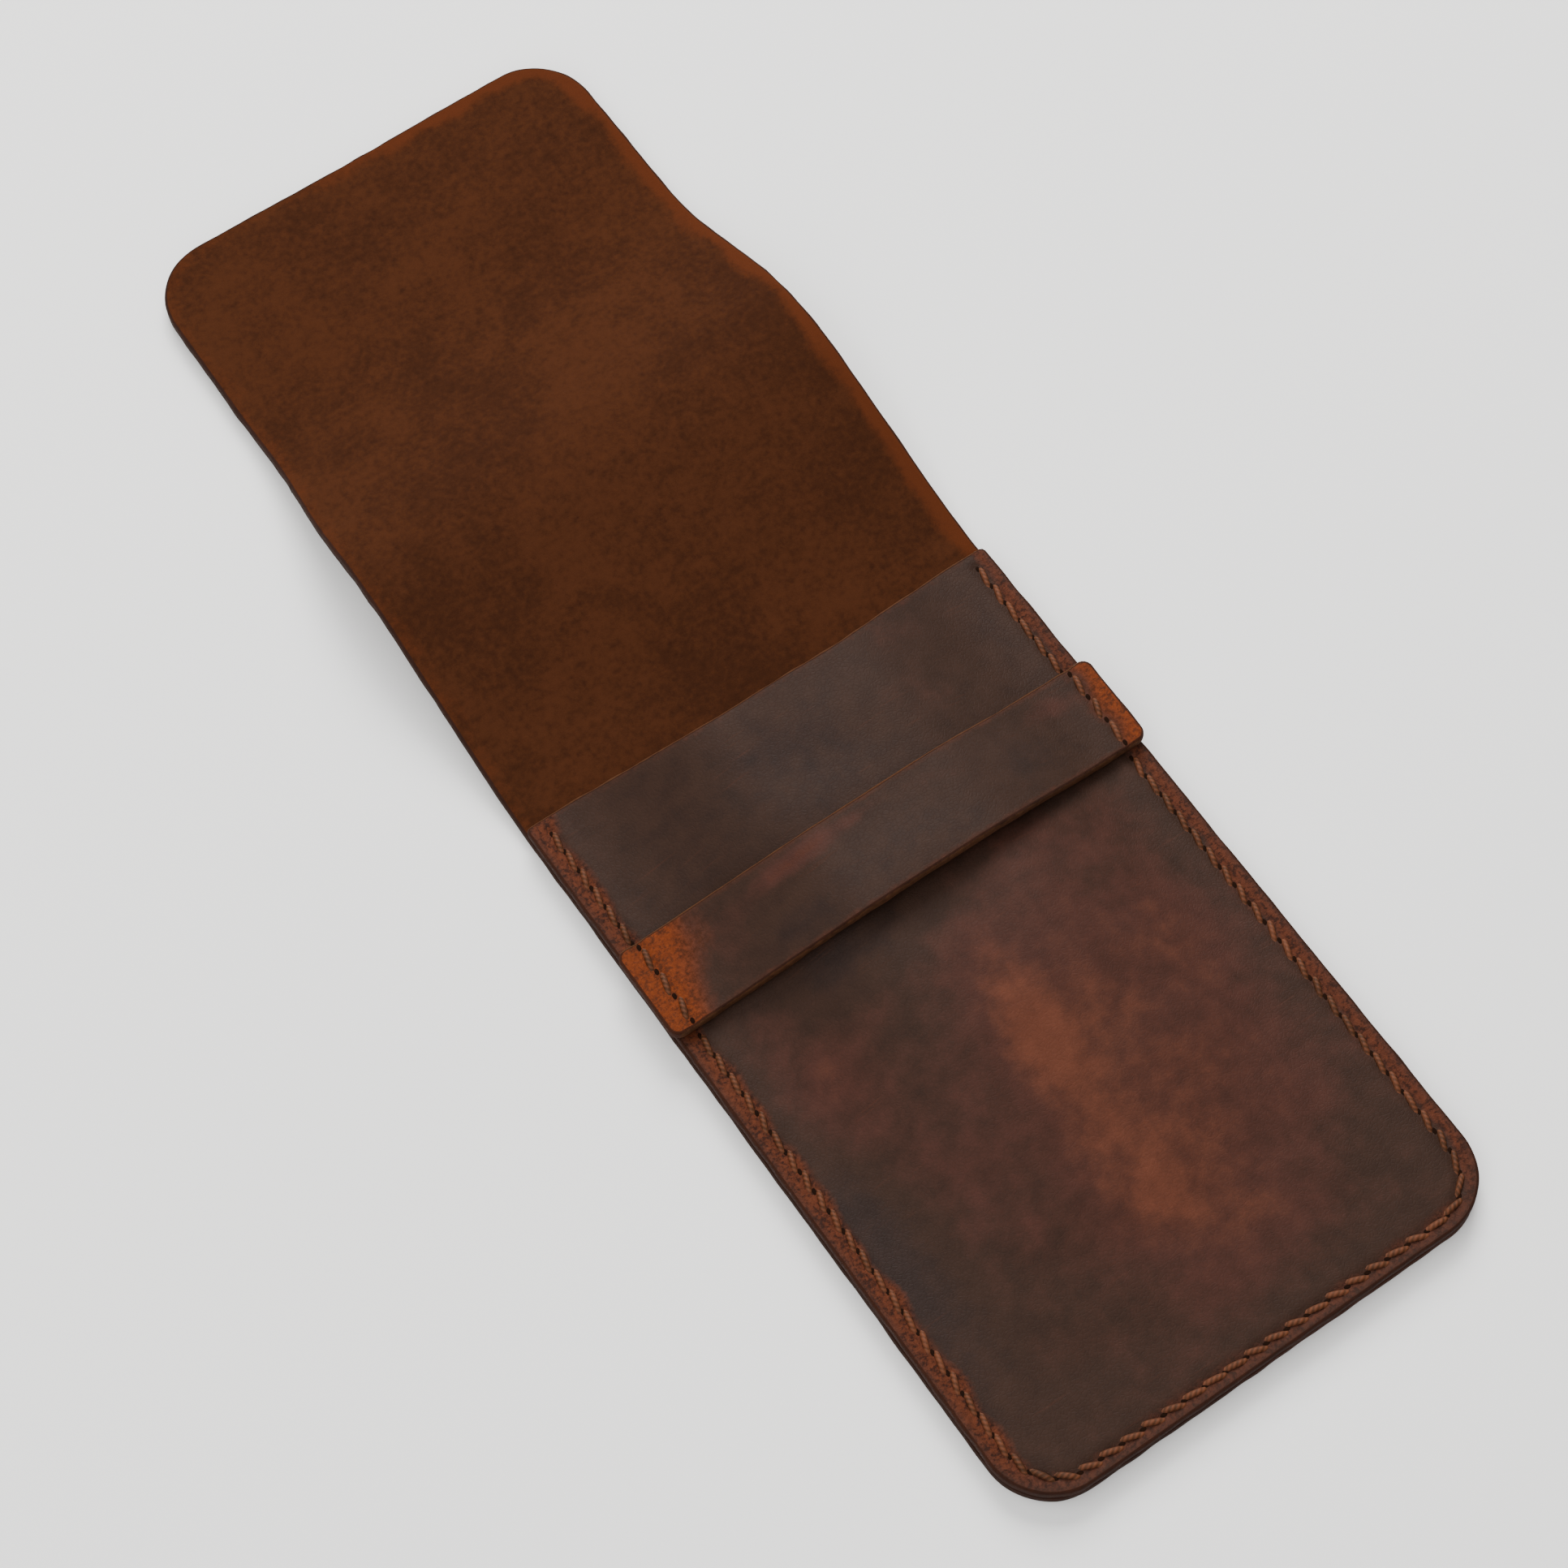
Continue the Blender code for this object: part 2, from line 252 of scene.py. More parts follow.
@dataclass(frozen=True)
class PocketForm:
    """The pocket's sizes and the heights of its leather, as the frame has them."""

    half_width: float
    bottom: float
    leather: float
    length: float = 0.121
    clearance: float = 0.0003
    corner_radius: float = 0.0100
    seam_margin: float = 0.0050
    seam_inset: float = 0.0028
    seam_bottom_shift: float = 0.0008
    seam_mouth_gap: float = 0.0026
    seam_fade: float = 1.2 * MM
    bulge_height: float = 0.0084
    bulge_flat_half: float = 0.0090
    bulge_end_length: float = 0.0660
    mouth_scoop: float = 0.0042
    band_height: float = 0.0150
    band_from_mouth: float = 0.0240
    band_bow: float = 0.0028
    band_slot: float = 0.0021
    band_sewn_width: float = 0.0050
    band_overhang: float = 0.0007
    band_flat_half: float = 0.0090

    @classmethod
    def from_frame(cls) -> "PocketForm":
        """Read the overall sizes from the frame's back panel."""
        low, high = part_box("back_panel")
        return cls(half_width=high.x, bottom=low.y, leather=high.z)

    @property
    def bulge_edge(self) -> float:
        """Half the width that stands up from the seams."""
        return self.half_width - self.seam_margin

    @property
    def band_free_edge(self) -> float:
        """Half the length of the band that isn't sewn down."""
        return self.half_width - self.band_sewn_width

    @property
    def band_upper(self) -> float:
        """The level of the band's upper edge at the seams."""
        return self.length - self.band_from_mouth

    @property
    def band_lower(self) -> float:
        """The level of the band's lower edge at the seams."""
        return self.band_upper - self.band_height

    @property
    def front_top(self) -> float:
        """The height of the front's grain side at its seams."""
        return 2 * self.leather + self.clearance

    @property
    def band_top(self) -> float:
        """The height of the band's grain side at its sewn ends."""
        return self.front_top + self.clearance + self.leather

    @property
    def band_rise(self) -> float:
        """How far the band's middle stands above its sewn ends."""
        return self.bulge_height + self.band_slot - self.clearance

    def arch(self, x: Array, foot: float, flat_half: float) -> Array:
        """Rise from 0 at the foot to 1 over a flat middle."""
        return smooth((foot - np.abs(x)) / (foot - flat_half))

    def front_arch(self, x: Array) -> Array:
        """Return the share of the front's full height at places across it."""
        return self.arch(x, self.bulge_edge, self.bulge_flat_half)

    def band_arch(self, x: Array) -> Array:
        """Return the share of the band's full height at places across it."""
        return self.arch(x, self.band_free_edge, self.band_flat_half)

    def bulge(self, x: Array, v: Array) -> Array:
        """Return how far the front stands above its seams."""
        along = smooth((v - self.seam_margin) / self.bulge_end_length)
        return self.bulge_height * self.front_arch(x) * along

    def seam_depth(self, x: Array, v: Array) -> Array:
        """Return how far in from the edge the seam runs, less along the bottom than at the sides.

        Args:
            x: Places across.
            v: Places along.

        Returns:
            The seam's distances from the edge.
        """
        over_x = np.maximum(np.abs(x) - (self.half_width - self.corner_radius), 0)
        over_v = np.maximum(self.corner_radius - v, 0)
        turn = np.arctan2(over_v, np.maximum(over_x, STEP)) / (math.pi / 2)
        return self.seam_inset - self.seam_bottom_shift * smooth(turn)

    def edge_distance(self, x: Array, v: Array) -> Array:
        """Return how far a place lies in from the pocket's sides and rounded bottom."""
        return inside(x, v, self.half_width, v, self.corner_radius)

    def from_seam(self, x: Array, v: Array) -> Array:
        """Return how far a place lies in from the seam."""
        return self.edge_distance(x, v) - self.seam_depth(x, v)

    def below_mouth(self, v: Array) -> Array:
        """Return 1 along the seam and 0 above its end near the mouth."""
        return smooth((self.length - self.seam_mouth_gap / 2 - v) / self.seam_fade)


@dataclass(frozen=True)
class FlapForm:
    """The flap's outline and the line that its upper face follows when open."""

    pocket: PocketForm
    hinges: tuple[tuple[float, float], ...]
    end_y: float
    width_loss: float = 0.0009
    step: float = 0.0017
    step_start: float = 0.0520
    step_end: float = 0.0760
    corner_radius: float = 0.0105
    bend_reach: tuple[float, ...] = (0.0085, 0.0042, 0.0036, 0.0042, 0.0095)
    edge_curl: float = 0.0004
    curl_start: float = 12 * MM
    unevenness: Unevenness = Unevenness(0.00022, 46 * MM, 5)

    @classmethod
    def from_frame(cls, pocket: PocketForm) -> "FlapForm":
        """Read the bends' places and the flap's end from the frame.

        Args:
            pocket: The pocket that the flap belongs to.

        Returns:
            The flap's form.
        """
        places = {joint["name"]: joint["pos_m"] for joint in frame["joints"]}
        hinges = tuple((places[hinge.value][1], places[hinge.value][2]) for hinge in Hinge)
        return cls(pocket=pocket, hinges=hinges, end_y=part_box("flap_tip")[1].y)

    @property
    def marks(self) -> tuple[float, ...]:
        """The places along the leather of the five bends.

        Returns:
            The places in order.
        """
        places = [self.hinges[0][0] - self.pocket.bottom]
        for (y_0, z_0), (y_1, z_1) in zip(self.hinges, self.hinges[1:]):
            places.append(places[-1] + math.hypot(y_1 - y_0, z_1 - z_0))
        return tuple(places)

    @property
    def folds(self) -> tuple[float, ...]:
        """The places of the three bends that make the fold over the mouth."""
        return self.marks[1:4]

    @property
    def end(self) -> float:
        """The place along the leather of the flap's end."""
        return self.marks[-1] + self.end_y - self.hinges[-1][0]

    @property
    def length(self) -> float:
        """The flap's length from the mouth."""
        return self.end - self.pocket.length

    def slope(self, v: Array) -> Array:
        """Return the leather's rise in radians at places along it.

        Args:
            v: Places along the leather.

        Returns:
            The angles, 0 on the pocket and on the flap's end.
        """
        rises = [0.0]
        for (y_0, z_0), (y_1, z_1) in zip(self.hinges, self.hinges[1:]):
            rises.append(math.atan2(z_1 - z_0, y_1 - y_0))
        rises.append(0.0)
        angle = np.zeros_like(v)
        for mark, reach, before, after in zip(self.marks, self.bend_reach, rises, rises[1:]):
            angle = angle + (after - before) * smooth((v - mark + reach) / (2 * reach))
        return angle

    def line(self, v: Array) -> Pair:
        """Return where the leather's upper face runs.

        Args:
            v: Places along the leather.

        Returns:
            The world y and z of each place.
        """
        fine = np.arange(0.0, self.end + self.pocket.leather, STEP)
        angle = self.slope(fine + STEP / 2)
        y = self.pocket.bottom + np.concatenate([[0.0], np.cumsum(np.cos(angle[:-1]) * STEP)])
        z = self.pocket.leather + np.concatenate([[0.0], np.cumsum(np.sin(angle[:-1]) * STEP)])
        past = np.minimum(v, 0.0)
        return np.interp(v, fine, y) + past, np.interp(v, fine, z)

    def half_width(self, v: Array) -> Array:
        """Return half the leather's width, narrower on the flap than on the pocket.

        Args:
            v: Places along the leather.

        Returns:
            Half the widths.
        """
        along = np.maximum(v - self.pocket.length, 0.0)
        step = smooth((along - self.step_start) / (self.step_end - self.step_start))
        return self.pocket.half_width - self.width_loss * along / self.length - self.step * step

    def edge_distance(self, x: Array, v: Array) -> Array:
        """Return how far a place lies in from the sides and both rounded ends.

        Args:
            x: Places across.
            v: Places along.

        Returns:
            The distances, which are 0 at the edge.
        """
        radius = np.where(v > self.pocket.length, self.corner_radius, self.pocket.corner_radius)
        end = np.minimum(v, self.end - v)
        return inside(x, end, self.half_width(v), end, radius)

    def surface(self, x: Array, v: Array) -> Array:
        """Return the upper face of the back and the flap.

        Args:
            x: Places across.
            v: Places along.

        Returns:
            World points, one row for each place.
        """
        y, z = self.line(v)
        angle = self.slope(v)
        free = smooth((v - self.pocket.length) / self.curl_start)
        share = np.abs(x) / self.pocket.half_width
        rough = self.unevenness
        lift = free * (self.edge_curl * share ** 4 + rough.amount + rough.at(x, v))
        return np.stack([x + 0 * v, y - lift * np.sin(angle), z + lift * np.cos(angle)], axis=-1)


@dataclass
class LeatherSheet:
    """One cut piece of leather, built on a grid with rounded corners and worked edges.

    The grid lies in the flat leather. The surface function bends it, and the two offsets
    give its faces their depth, so that a furrow can be pressed into one of them.
    """

    name: str
    surface: Field
    half_width: Callable[[Array], Array]
    x_lines: Array
    v_lines: Array
    upper: Field
    lower: Field
    corner_radii: tuple[float, float] = (0.0, 0.0)
    rim_rows: int = 4
    rim_swell: float = 1.10
    rim_wave: float = 7 * MM
    bow: Field | None = None
    cut_ends: tuple[bool, bool] = (False, False)
    unevenness: float = 0.00007
    upper_side: Side = Side.GRAIN
    marks: dict[str, Field] = field(default_factory=dict)

    def plan(self) -> Pair:
        """Lay the grid out flat, inside the rounded rim.

        Returns:
            The x and v of each grid point, as two tables with a row for each v.
        """
        x, v = np.meshgrid(self.x_lines, self.v_lines)
        low, high = self.v_lines[0], self.v_lines[-1]
        half = self.x_lines[-1]
        for radius, end, sign in ((self.corner_radii[0], low, -1), (self.corner_radii[1], high, 1)):
            inner = radius - RIM
            if inner <= 0:
                continue
            a = np.clip((np.abs(x) - (half - inner)) / inner, 0, 1)
            b = np.clip(1 - sign * (end - v) / inner, 0, 1)
            x = x + np.sign(x) * inner * (a * np.sqrt(1 - b * b / 2) - a)
            v = v + sign * inner * (b * np.sqrt(1 - a * a / 2) - b)
        x = x * (self.half_width(v) - RIM) / half
        if self.bow is not None:
            v = v + self.bow(x, v)
        return x, v

    def rim_loop(self, number: Array) -> Array:
        """Return the grid's outer points in order, from the lower left corner."""
        return np.concatenate([number[0], number[1:, -1], number[-1, -2::-1], number[-2:0:-1, 0]])

    def outward(self, x: Array, v: Array) -> Pair:
        """Return how each outer point moves when the outline grows by one.

        Args:
            x: The outer points' places across, in order.
            v: Their places along.

        Returns:
            The moves across and along.
        """
        step = np.stack([np.roll(x, -1) - x, np.roll(v, -1) - v], axis=-1)
        step /= np.linalg.norm(step, axis=-1, keepdims=True)
        right = np.stack([step[:, 1], -step[:, 0]], axis=-1)
        before = np.roll(right, 1, axis=0)
        grown = (right + before) / (1 + (right * before).sum(axis=-1, keepdims=True))
        return grown[:, 0], grown[:, 1]

    def cut_points(self, v: Array) -> Array:
        """Mark the outer points that lie on an end where the next piece joins on.

        Args:
            v: The outer points' places along the leather.

        Returns:
            True for each point of such an end.
        """
        joined = np.zeros(len(v), bool)
        for cut, end in zip(self.cut_ends, (self.v_lines[0], self.v_lines[-1])):
            if cut:
                joined |= np.abs(v - end) < STEP
        return joined

    def rim_profile(self) -> list[tuple[float, float, float]]:
        """Return the rim's section, from the upper face round to the lower one.

        Returns:
            Rows of outward distance, drop from the upper face and rise from the lower face.
            A face that a point isn't measured from has -1.
        """
        turns = [math.pi / 2 * index / self.rim_rows for index in range(1, self.rim_rows + 1)]
        rows = [(RIM * math.sin(turn), RIM * (1 - math.cos(turn)), -1.0) for turn in turns]
        rows.append((RIM * self.rim_swell, -1.0, -1.0))
        rows += [(RIM * math.sin(turn), -1.0, RIM * (1 - math.cos(turn))) for turn in reversed(turns)]
        return rows

    def raised(self, x: Array, v: Array, level: Array, depth: Array) -> Pair:
        """Lift flat places to a level, and note them with a depth."""
        points = self.surface(x, v) + upward(self.surface, x, v) * level[:, None]
        return points, np.stack([x, v, depth], axis=-1)

    def build(self) -> bpy.types.Object:
        """Make the piece as one closed mesh with its three materials still to be given.

        Returns:
            The new object, linked to the scene.
        """
        x, v = self.plan()
        number = np.arange(x.size).reshape(x.shape)
        x, v = x.ravel(), v.ravel()
        loop = self.rim_loop(number)
        joined = self.cut_points(v[loop])
        out_x, out_v = self.outward(x[loop], v[loop])
        out_v = np.where(joined, 0.0, out_v)
        rough = self.unevenness * ripple(x[loop], v[loop], self.rim_wave, len(self.name))
        parts = [self.raised(x, v, self.upper(x, v), 0 * x)]
        for out, drop, rise in self.rim_profile():
            reach = out + rough * out / RIM
            ring_x, ring_v = x[loop] + out_x * reach, v[loop] + out_v * reach
            top, bottom = self.upper(ring_x, ring_v), self.lower(ring_x, ring_v)
            level = np.where(drop >= 0, top - drop, np.where(rise >= 0, bottom + rise, (top + bottom) / 2))
            parts.append(self.raised(ring_x, ring_v, level, level))
        parts.append(self.raised(x, v, self.lower(x, v), -self.lower(x, v)))
        points, flat = (np.concatenate(rows) for rows in zip(*parts))
        rings = self.rings(number.size, loop, len(parts) - 2)
        faces, sides = self.faces(number, rings)
        mesh = bpy.data.meshes.new(self.name)
        mesh.from_pydata(points, [], faces)
        mesh.polygons.foreach_set("material_index", sides)
        mesh.shade_smooth()
        self.note_places(mesh, flat)
        self.sharpen_joins(mesh, set(rings[:, joined].ravel().tolist()))
        return linked(self.name, mesh)

    def rings(self, size: int, loop: Array, count: int) -> Array:
        """Number the rim's points, with a row for each ring from the upper face to the lower one."""
        rim = size + np.arange(count * len(loop)).reshape(count, -1)
        return np.vstack([loop, rim, loop + size + rim.size])

    def faces(self, number: Array, rings: Array) -> tuple[Array, list[int]]:
        """List the corners and the material of each face.

        Args:
            number: The numbers of the upper face's points, as a table.
            rings: The numbers of the rim's points.

        Returns:
            The faces and their material numbers.
        """
        quads = np.stack([number[:-1, :-1], number[:-1, 1:], number[1:, 1:], number[1:, :-1]], axis=-1)
        quads = quads.reshape(-1, 4)
        rim = [np.stack([above, below, np.roll(below, -1), np.roll(above, -1)], axis=-1)
               for above, below in zip(rings, rings[1:])]
        faces = np.concatenate([quads, quads[:, ::-1] + rings[-1, 0] - rings[0, 0], *rim])
        lower_side = Side.FLESH if self.upper_side is Side.GRAIN else Side.GRAIN
        sides = [self.upper_side.value] * len(quads) + [lower_side.value] * len(quads)
        return faces, sides + [Side.CUT.value] * (len(faces) - len(sides))

    def note_places(self, mesh: bpy.types.Mesh, flat: Array) -> None:
        """Store each point's place on the flat leather in millimetres, and its marks.

        Args:
            mesh: The piece's mesh.
            flat: For each point its x, its v and its depth.
        """
        spot = mesh.attributes.new("place", "FLOAT_VECTOR", "POINT")
        spot.data.foreach_set("vector", (flat / MM).astype(np.float32).ravel())
        for mark, rule in self.marks.items():
            values = np.broadcast_to(rule(flat[:, 0], flat[:, 1]), len(flat))
            layer = mesh.attributes.new(mark, "FLOAT", "POINT")
            layer.data.foreach_set("value", values.astype(np.float32))

    def sharpen_joins(self, mesh: bpy.types.Mesh, hidden: set[int]) -> None:
        """Keep the shading of the faces clear of the hidden ends that meet the next piece.

        Args:
            mesh: The piece's mesh.
            hidden: The points of the hidden ends.
        """
        ends = (face for face in mesh.polygons if hidden.issuperset(face.vertices))
        uses = Counter(key for face in ends for key in face.edge_keys)
        for edge in mesh.edges:
            if uses[edge.key] == 1:
                edge.use_edge_sharp = True


def linked(name: str, data: bpy.types.ID) -> bpy.types.Object:
    """Make an object for a mesh, lamp or camera and add it to the scene.

    Args:
        name: The object's name.
        data: What it shows.

    Returns:
        The object.
    """
    item = bpy.data.objects.new(name, data)
    bpy.context.scene.collection.objects.link(item)
    return item


class NodeWork:
    """Short calls that add nodes to one tree."""

    def __init__(self, tree: bpy.types.NodeTree) -> None:
        """Keep the tree that is worked on."""
        self.tree = tree

    def add(self, kind: str, inputs: dict | None = None, **settings: object) -> bpy.types.Node:
        """Add a node.

        Args:
            kind: The node's type.
            inputs: Values or sockets for its inputs, by name or number.
            settings: Values for the node's own properties.

        Returns:
            The new node.
        """
        node = self.tree.nodes.new(kind)
        for name, value in settings.items():
            setattr(node, name, value)
        for key, value in (inputs or {}).items():
            self.feed(node.inputs[key], value)
        return node

    def feed(self, socket: Socket, value: object) -> None:
        """Give a socket a value, or link another socket to it.

        Args:
            socket: The input.
            value: A number, a colour, a vector or an output socket.
        """
        if isinstance(value, Socket):
            self.tree.links.new(value, socket)
        else:
            socket.default_value = value

    def math(self, operation: str, *values: object, clamp: bool = False) -> Socket:
        """Add a math node and return its result."""
        node = self.add("ShaderNodeMath", dict(enumerate(values)), operation=operation, use_clamp=clamp)
        return node.outputs[0]

    def plus(self, value: object, share: float, base: object, clamp: bool = False) -> Socket:
        """Add a share of a value to a base."""
        return self.math("MULTIPLY_ADD", value, share, base, clamp=clamp)

    def swing(self, pattern: object, share: float, base: object) -> Socket:
        """Add a share of a pattern to a base, which it raises as often as it lowers it."""
        return self.plus(self.math("SUBTRACT", pattern, 0.5), share, base)

    def between(self, value: object, low: float, high: float) -> Socket:
        """Ease a value from 0 at the low mark to 1 at the high mark."""
        marks = {"Value": value, "From Min": low, "From Max": high}
        return self.add("ShaderNodeMapRange", marks, interpolation_type="SMOOTHSTEP").outputs["Result"]

    def mix(self, share: object, first: object, second: object, mode: str = "MIX") -> Socket:
        """Mix two colours and return the result."""
        node = self.add("ShaderNodeMix", {0: share, 6: first, 7: second}, data_type="RGBA", blend_type=mode)
        return node.outputs[2]

    def shaded(self, color: object, tone: object) -> Socket:
        """Make a colour lighter or darker by a tone."""
        grey = self.add("ShaderNodeCombineColor", {0: tone, 1: tone, 2: tone})
        return self.mix(1.0, color, grey.outputs[0], "MULTIPLY")

    def noise(self, place: object, scale: float, detail: float = 2.0, rough: float = 0.5,
              twist: float = 0.0) -> Socket:
        """Add a noise texture in turns for each unit of place and return its strength."""
        values = {"Vector": place, "Scale": scale, "Detail": detail, "Roughness": rough, "Distortion": twist}
        return self.add("ShaderNodeTexNoise", values).outputs["Fac"]

    def stretched(self, place: object, scale: tuple[float, float, float],
                  turn: float = 0.0, shift: float = 0.0) -> Socket:
        """Turn and stretch the places that a pattern reads."""
        values = {"Vector": place, "Scale": scale, "Rotation": (0, 0, turn), "Location": (shift, shift, 0)}
        return self.add("ShaderNodeMapping", values).outputs["Vector"]

    def scaled(self, place: object, size: object) -> Socket:
        """Scale the places that a pattern reads by one size."""
        return self.add("ShaderNodeVectorMath", {0: place, "Scale": size}, operation="SCALE").outputs[0]


class MaterialWork(NodeWork):
    """Short calls for one material and its own shader."""

    def __init__(self, name: str, groups: Groups) -> None:
        """Start a material.

        Args:
            name: The material's name.
            groups: The shared shader groups, by name.
        """
        self.made = bpy.data.materials.new(name)
        self.made.use_nodes = True
        super().__init__(self.made.node_tree)
        self.shader = self.tree.nodes["Principled BSDF"]
        self.groups = groups

    def attribute(self, name: str, output: str = "Fac") -> Socket:
        """Read one of the piece's own attributes."""
        return self.add("ShaderNodeAttribute", attribute_name=name).outputs[output]

    def place(self) -> Socket:
        """Read the place on the flat leather, in millimetres."""
        return self.attribute("place", "Vector")

    def group(self, name: str, **inputs: object) -> bpy.types.NodeOutputs:
        """Put in a shared group and return its outputs."""
        return self.add("ShaderNodeGroup", inputs, node_tree=self.groups[name]).outputs

    def pale_line(self, place: Socket, color: Socket, pale: str) -> Socket:
        """Lay the broken pale line of a cut edge over a colour, where the attribute tan says so.

        Args:
            place: The place on the leather.
            color: The colour under the line.
            pale: The line's display colour.

        Returns:
            The colour with the line.
        """
        amount = self.plus(self.noise(place, scale=1.1, detail=3.0), 0.5, self.attribute("tan"))
        return self.mix(self.between(amount, low=0.60, high=0.95), color, srgb(pale))


def shader_group(name: str, inputs: dict[str, str], outputs: dict[str, str]) -> tuple[NodeWork, dict, dict]:
    """Start a shader group with named sockets.

    Args:
        name: The group's name.
        inputs: The kind of each input socket, by name.
        outputs: The kind of each output socket, by name.

    Returns:
        The group's node work, its input sockets and its output sockets.
    """
    tree = bpy.data.node_groups.new(name, "ShaderNodeTree")
    for way, sockets in (("INPUT", inputs), ("OUTPUT", outputs)):
        for label, kind in sockets.items():
            tree.interface.new_socket(name=label, in_out=way, socket_type="NodeSocket" + kind)
    work = NodeWork(tree)
    start = work.add("NodeGroupInput")
    end = work.add("NodeGroupOutput")
    return work, {key: start.outputs[key] for key in inputs}, {key: end.inputs[key] for key in outputs}


def group_pull_up() -> bpy.types.NodeTree:
    """Build the group that colours waxed leather from cool and greasy to warm and pulled.

    Returns:
        The group.
    """
    work, given, made = shader_group(
        "pull_up", {"Place": "Vector", "Pull": "Float", "Cool": "Color", "Base": "Color", "Russet": "Color",
                    "Ember": "Color"}, {"Color": "Color", "Drift": "Float"})
    broad = work.noise(given["Place"], scale=0.055, detail=4.0, rough=0.55, twist=0.4)
    middle = work.noise(given["Place"], scale=0.26, detail=5.0, rough=0.6)
    speck = work.noise(given["Place"], scale=2.6, detail=3.0, rough=0.6)
    drift = work.swing(broad, 0.7, given["Pull"])
    drift = work.swing(middle, 0.72, drift)
    drift = work.swing(speck, 0.14, drift)
    color = given["Cool"]
    for low, high, next_color in ((-0.55, 0.0, "Base"), (0.05, 0.70, "Russet"), (0.60, 1.30, "Ember")):
        color = work.mix(work.between(drift, low, high), color, given[next_color])
    tone = work.plus(middle, 0.70, work.plus(speck, 0.28, 0.51))
    work.feed(made["Color"], work.shaded(color, tone))
    work.feed(made["Drift"], drift)
    return work.tree


def group_edge_wear() -> bpy.types.NodeTree:
    """Build the group that breaks up a worn border so that it looks rubbed and not drawn.

    Returns:
        The group.
    """
    work, given, made = shader_group("edge_wear", {"Place": "Vector", "Wear": "Float"},
                                     {"Mask": "Float", "Flecks": "Float"})
    patchy = work.noise(given["Place"], scale=0.45, detail=4.0, rough=0.65)
    fine = work.noise(given["Place"], scale=1.5, detail=4.0, rough=0.7)
    amount = work.swing(patchy, 0.85, given["Wear"])
    amount = work.swing(fine, 0.55, amount)
    work.feed(made["Mask"], work.between(amount, low=0.15, high=0.95))
    flecks = work.plus(patchy, 0.35, work.math("MULTIPLY", fine, 0.75))
    work.feed(made["Flecks"], work.between(flecks, low=0.60, high=0.44))
    return work.tree


def group_grain() -> bpy.types.NodeTree:
    """Build the group for the fine pebble, pores and creases of the grain side.

    Returns:
        The group.
    """
    work, given, made = shader_group("leather_grain", {"Place": "Vector", "Size": "Float"},
                                     {"Height": "Float"})
    place = work.scaled(given["Place"], given["Size"])
    wander = work.add("ShaderNodeTexNoise", {"Vector": place, "Scale": 0.8, "Detail": 2.0})
    bent = work.add("ShaderNodeVectorMath", {0: wander.outputs["Color"], 1: (0.7, 0.7, 0.7), 2: place},
                    operation="MULTIPLY_ADD")
    pebble = work.add("ShaderNodeTexVoronoi", {"Vector": bent.outputs[0], "Scale": 1.7},
                      feature="DISTANCE_TO_EDGE")
    pores = work.add("ShaderNodeTexVoronoi", {"Vector": place, "Scale": 3.1})
    crease = work.between(pebble.outputs["Distance"], low=0.0, high=0.16)
    pore = work.between(pores.outputs["Distance"], low=0.05, high=0.22)
    height = work.plus(crease, 0.55, work.math("MULTIPLY", pore, 0.30))
    height = work.plus(work.noise(place, scale=5.5, detail=3.0, rough=0.6), 0.30, height)
    height = work.plus(work.noise(place, scale=0.16, detail=3.0), 0.9, height)
    work.feed(made["Height"], height)
    return work.tree


def group_scuffs() -> bpy.types.NodeTree:
    """Build the group for the fine light rub marks that waxed leather takes.

    Returns:
        The group.
    """
    work, given, made = shader_group("scuffs", {"Place": "Vector"}, {"Mask": "Float"})
    lines = []
    for turn, shift in ((0.5, 3.0), (-0.9, 11.0), (1.35, 27.0)):
        place = work.stretched(given["Place"], (0.06, 1.5, 1.0), turn, shift)
        mark = work.noise(place, scale=1.0, detail=3.0, rough=0.55, twist=0.25)
        lines.append(work.between(mark, low=0.64, high=0.72))
    gate = work.between(work.noise(given["Place"], scale=0.11), low=0.48, high=0.62)
    total = work.math("MAXIMUM", work.math("MAXIMUM", lines[0], lines[1]), lines[2])
    work.feed(made["Mask"], work.math("MULTIPLY", total, gate, clamp=True))
    return work.tree


def group_nap() -> bpy.types.NodeTree:
    """Build the group for the fibres of a flesh side or a cut edge.

    Returns:
        The group.
    """
    work, given, made = shader_group("nap", {"Place": "Vector", "Size": "Float"},
                                     {"Height": "Float", "Tone": "Float"})
    place = work.scaled(given["Place"], given["Size"])
    fibres = []
    for stretch, turn in (((0.9, 3.4, 1.0), 0.5), ((3.4, 0.9, 1.0), 0.9)):
        lie = work.stretched(place, stretch, turn)
        fibres.append(work.noise(lie, scale=1.3, detail=4.0, rough=0.7, twist=1.2))
    clump = work.noise(place, scale=0.8, detail=5.0, rough=0.7)
    fuzz = work.noise(place, scale=7.0, detail=3.0, rough=0.7)
    height = work.plus(work.math("MAXIMUM", fibres[0], fibres[1]), 0.8, fuzz)
    tone = work.plus(clump, 0.6, work.math("MULTIPLY", height, 0.3))
    work.feed(made["Height"], work.plus(clump, 0.6, height))
    work.feed(made["Tone"], work.between(tone, low=0.35, high=0.85))
    return work.tree


def srgb(code: str) -> tuple[float, float, float, float]:
    """Turn a display colour such as 44312B into linear light by the display's own curve.

    Args:
        code: Six figures for red, green and blue.

    Returns:
        The linear colour with a full alpha.
    """
    parts = [int(code[index:index + 2], 16) / 255 for index in (0, 2, 4)]
    linear = [part / 12.92 if part <= 0.04045 else ((part + 0.055) / 1.055) ** 2.4 for part in parts]
    return (*linear, 1.0)


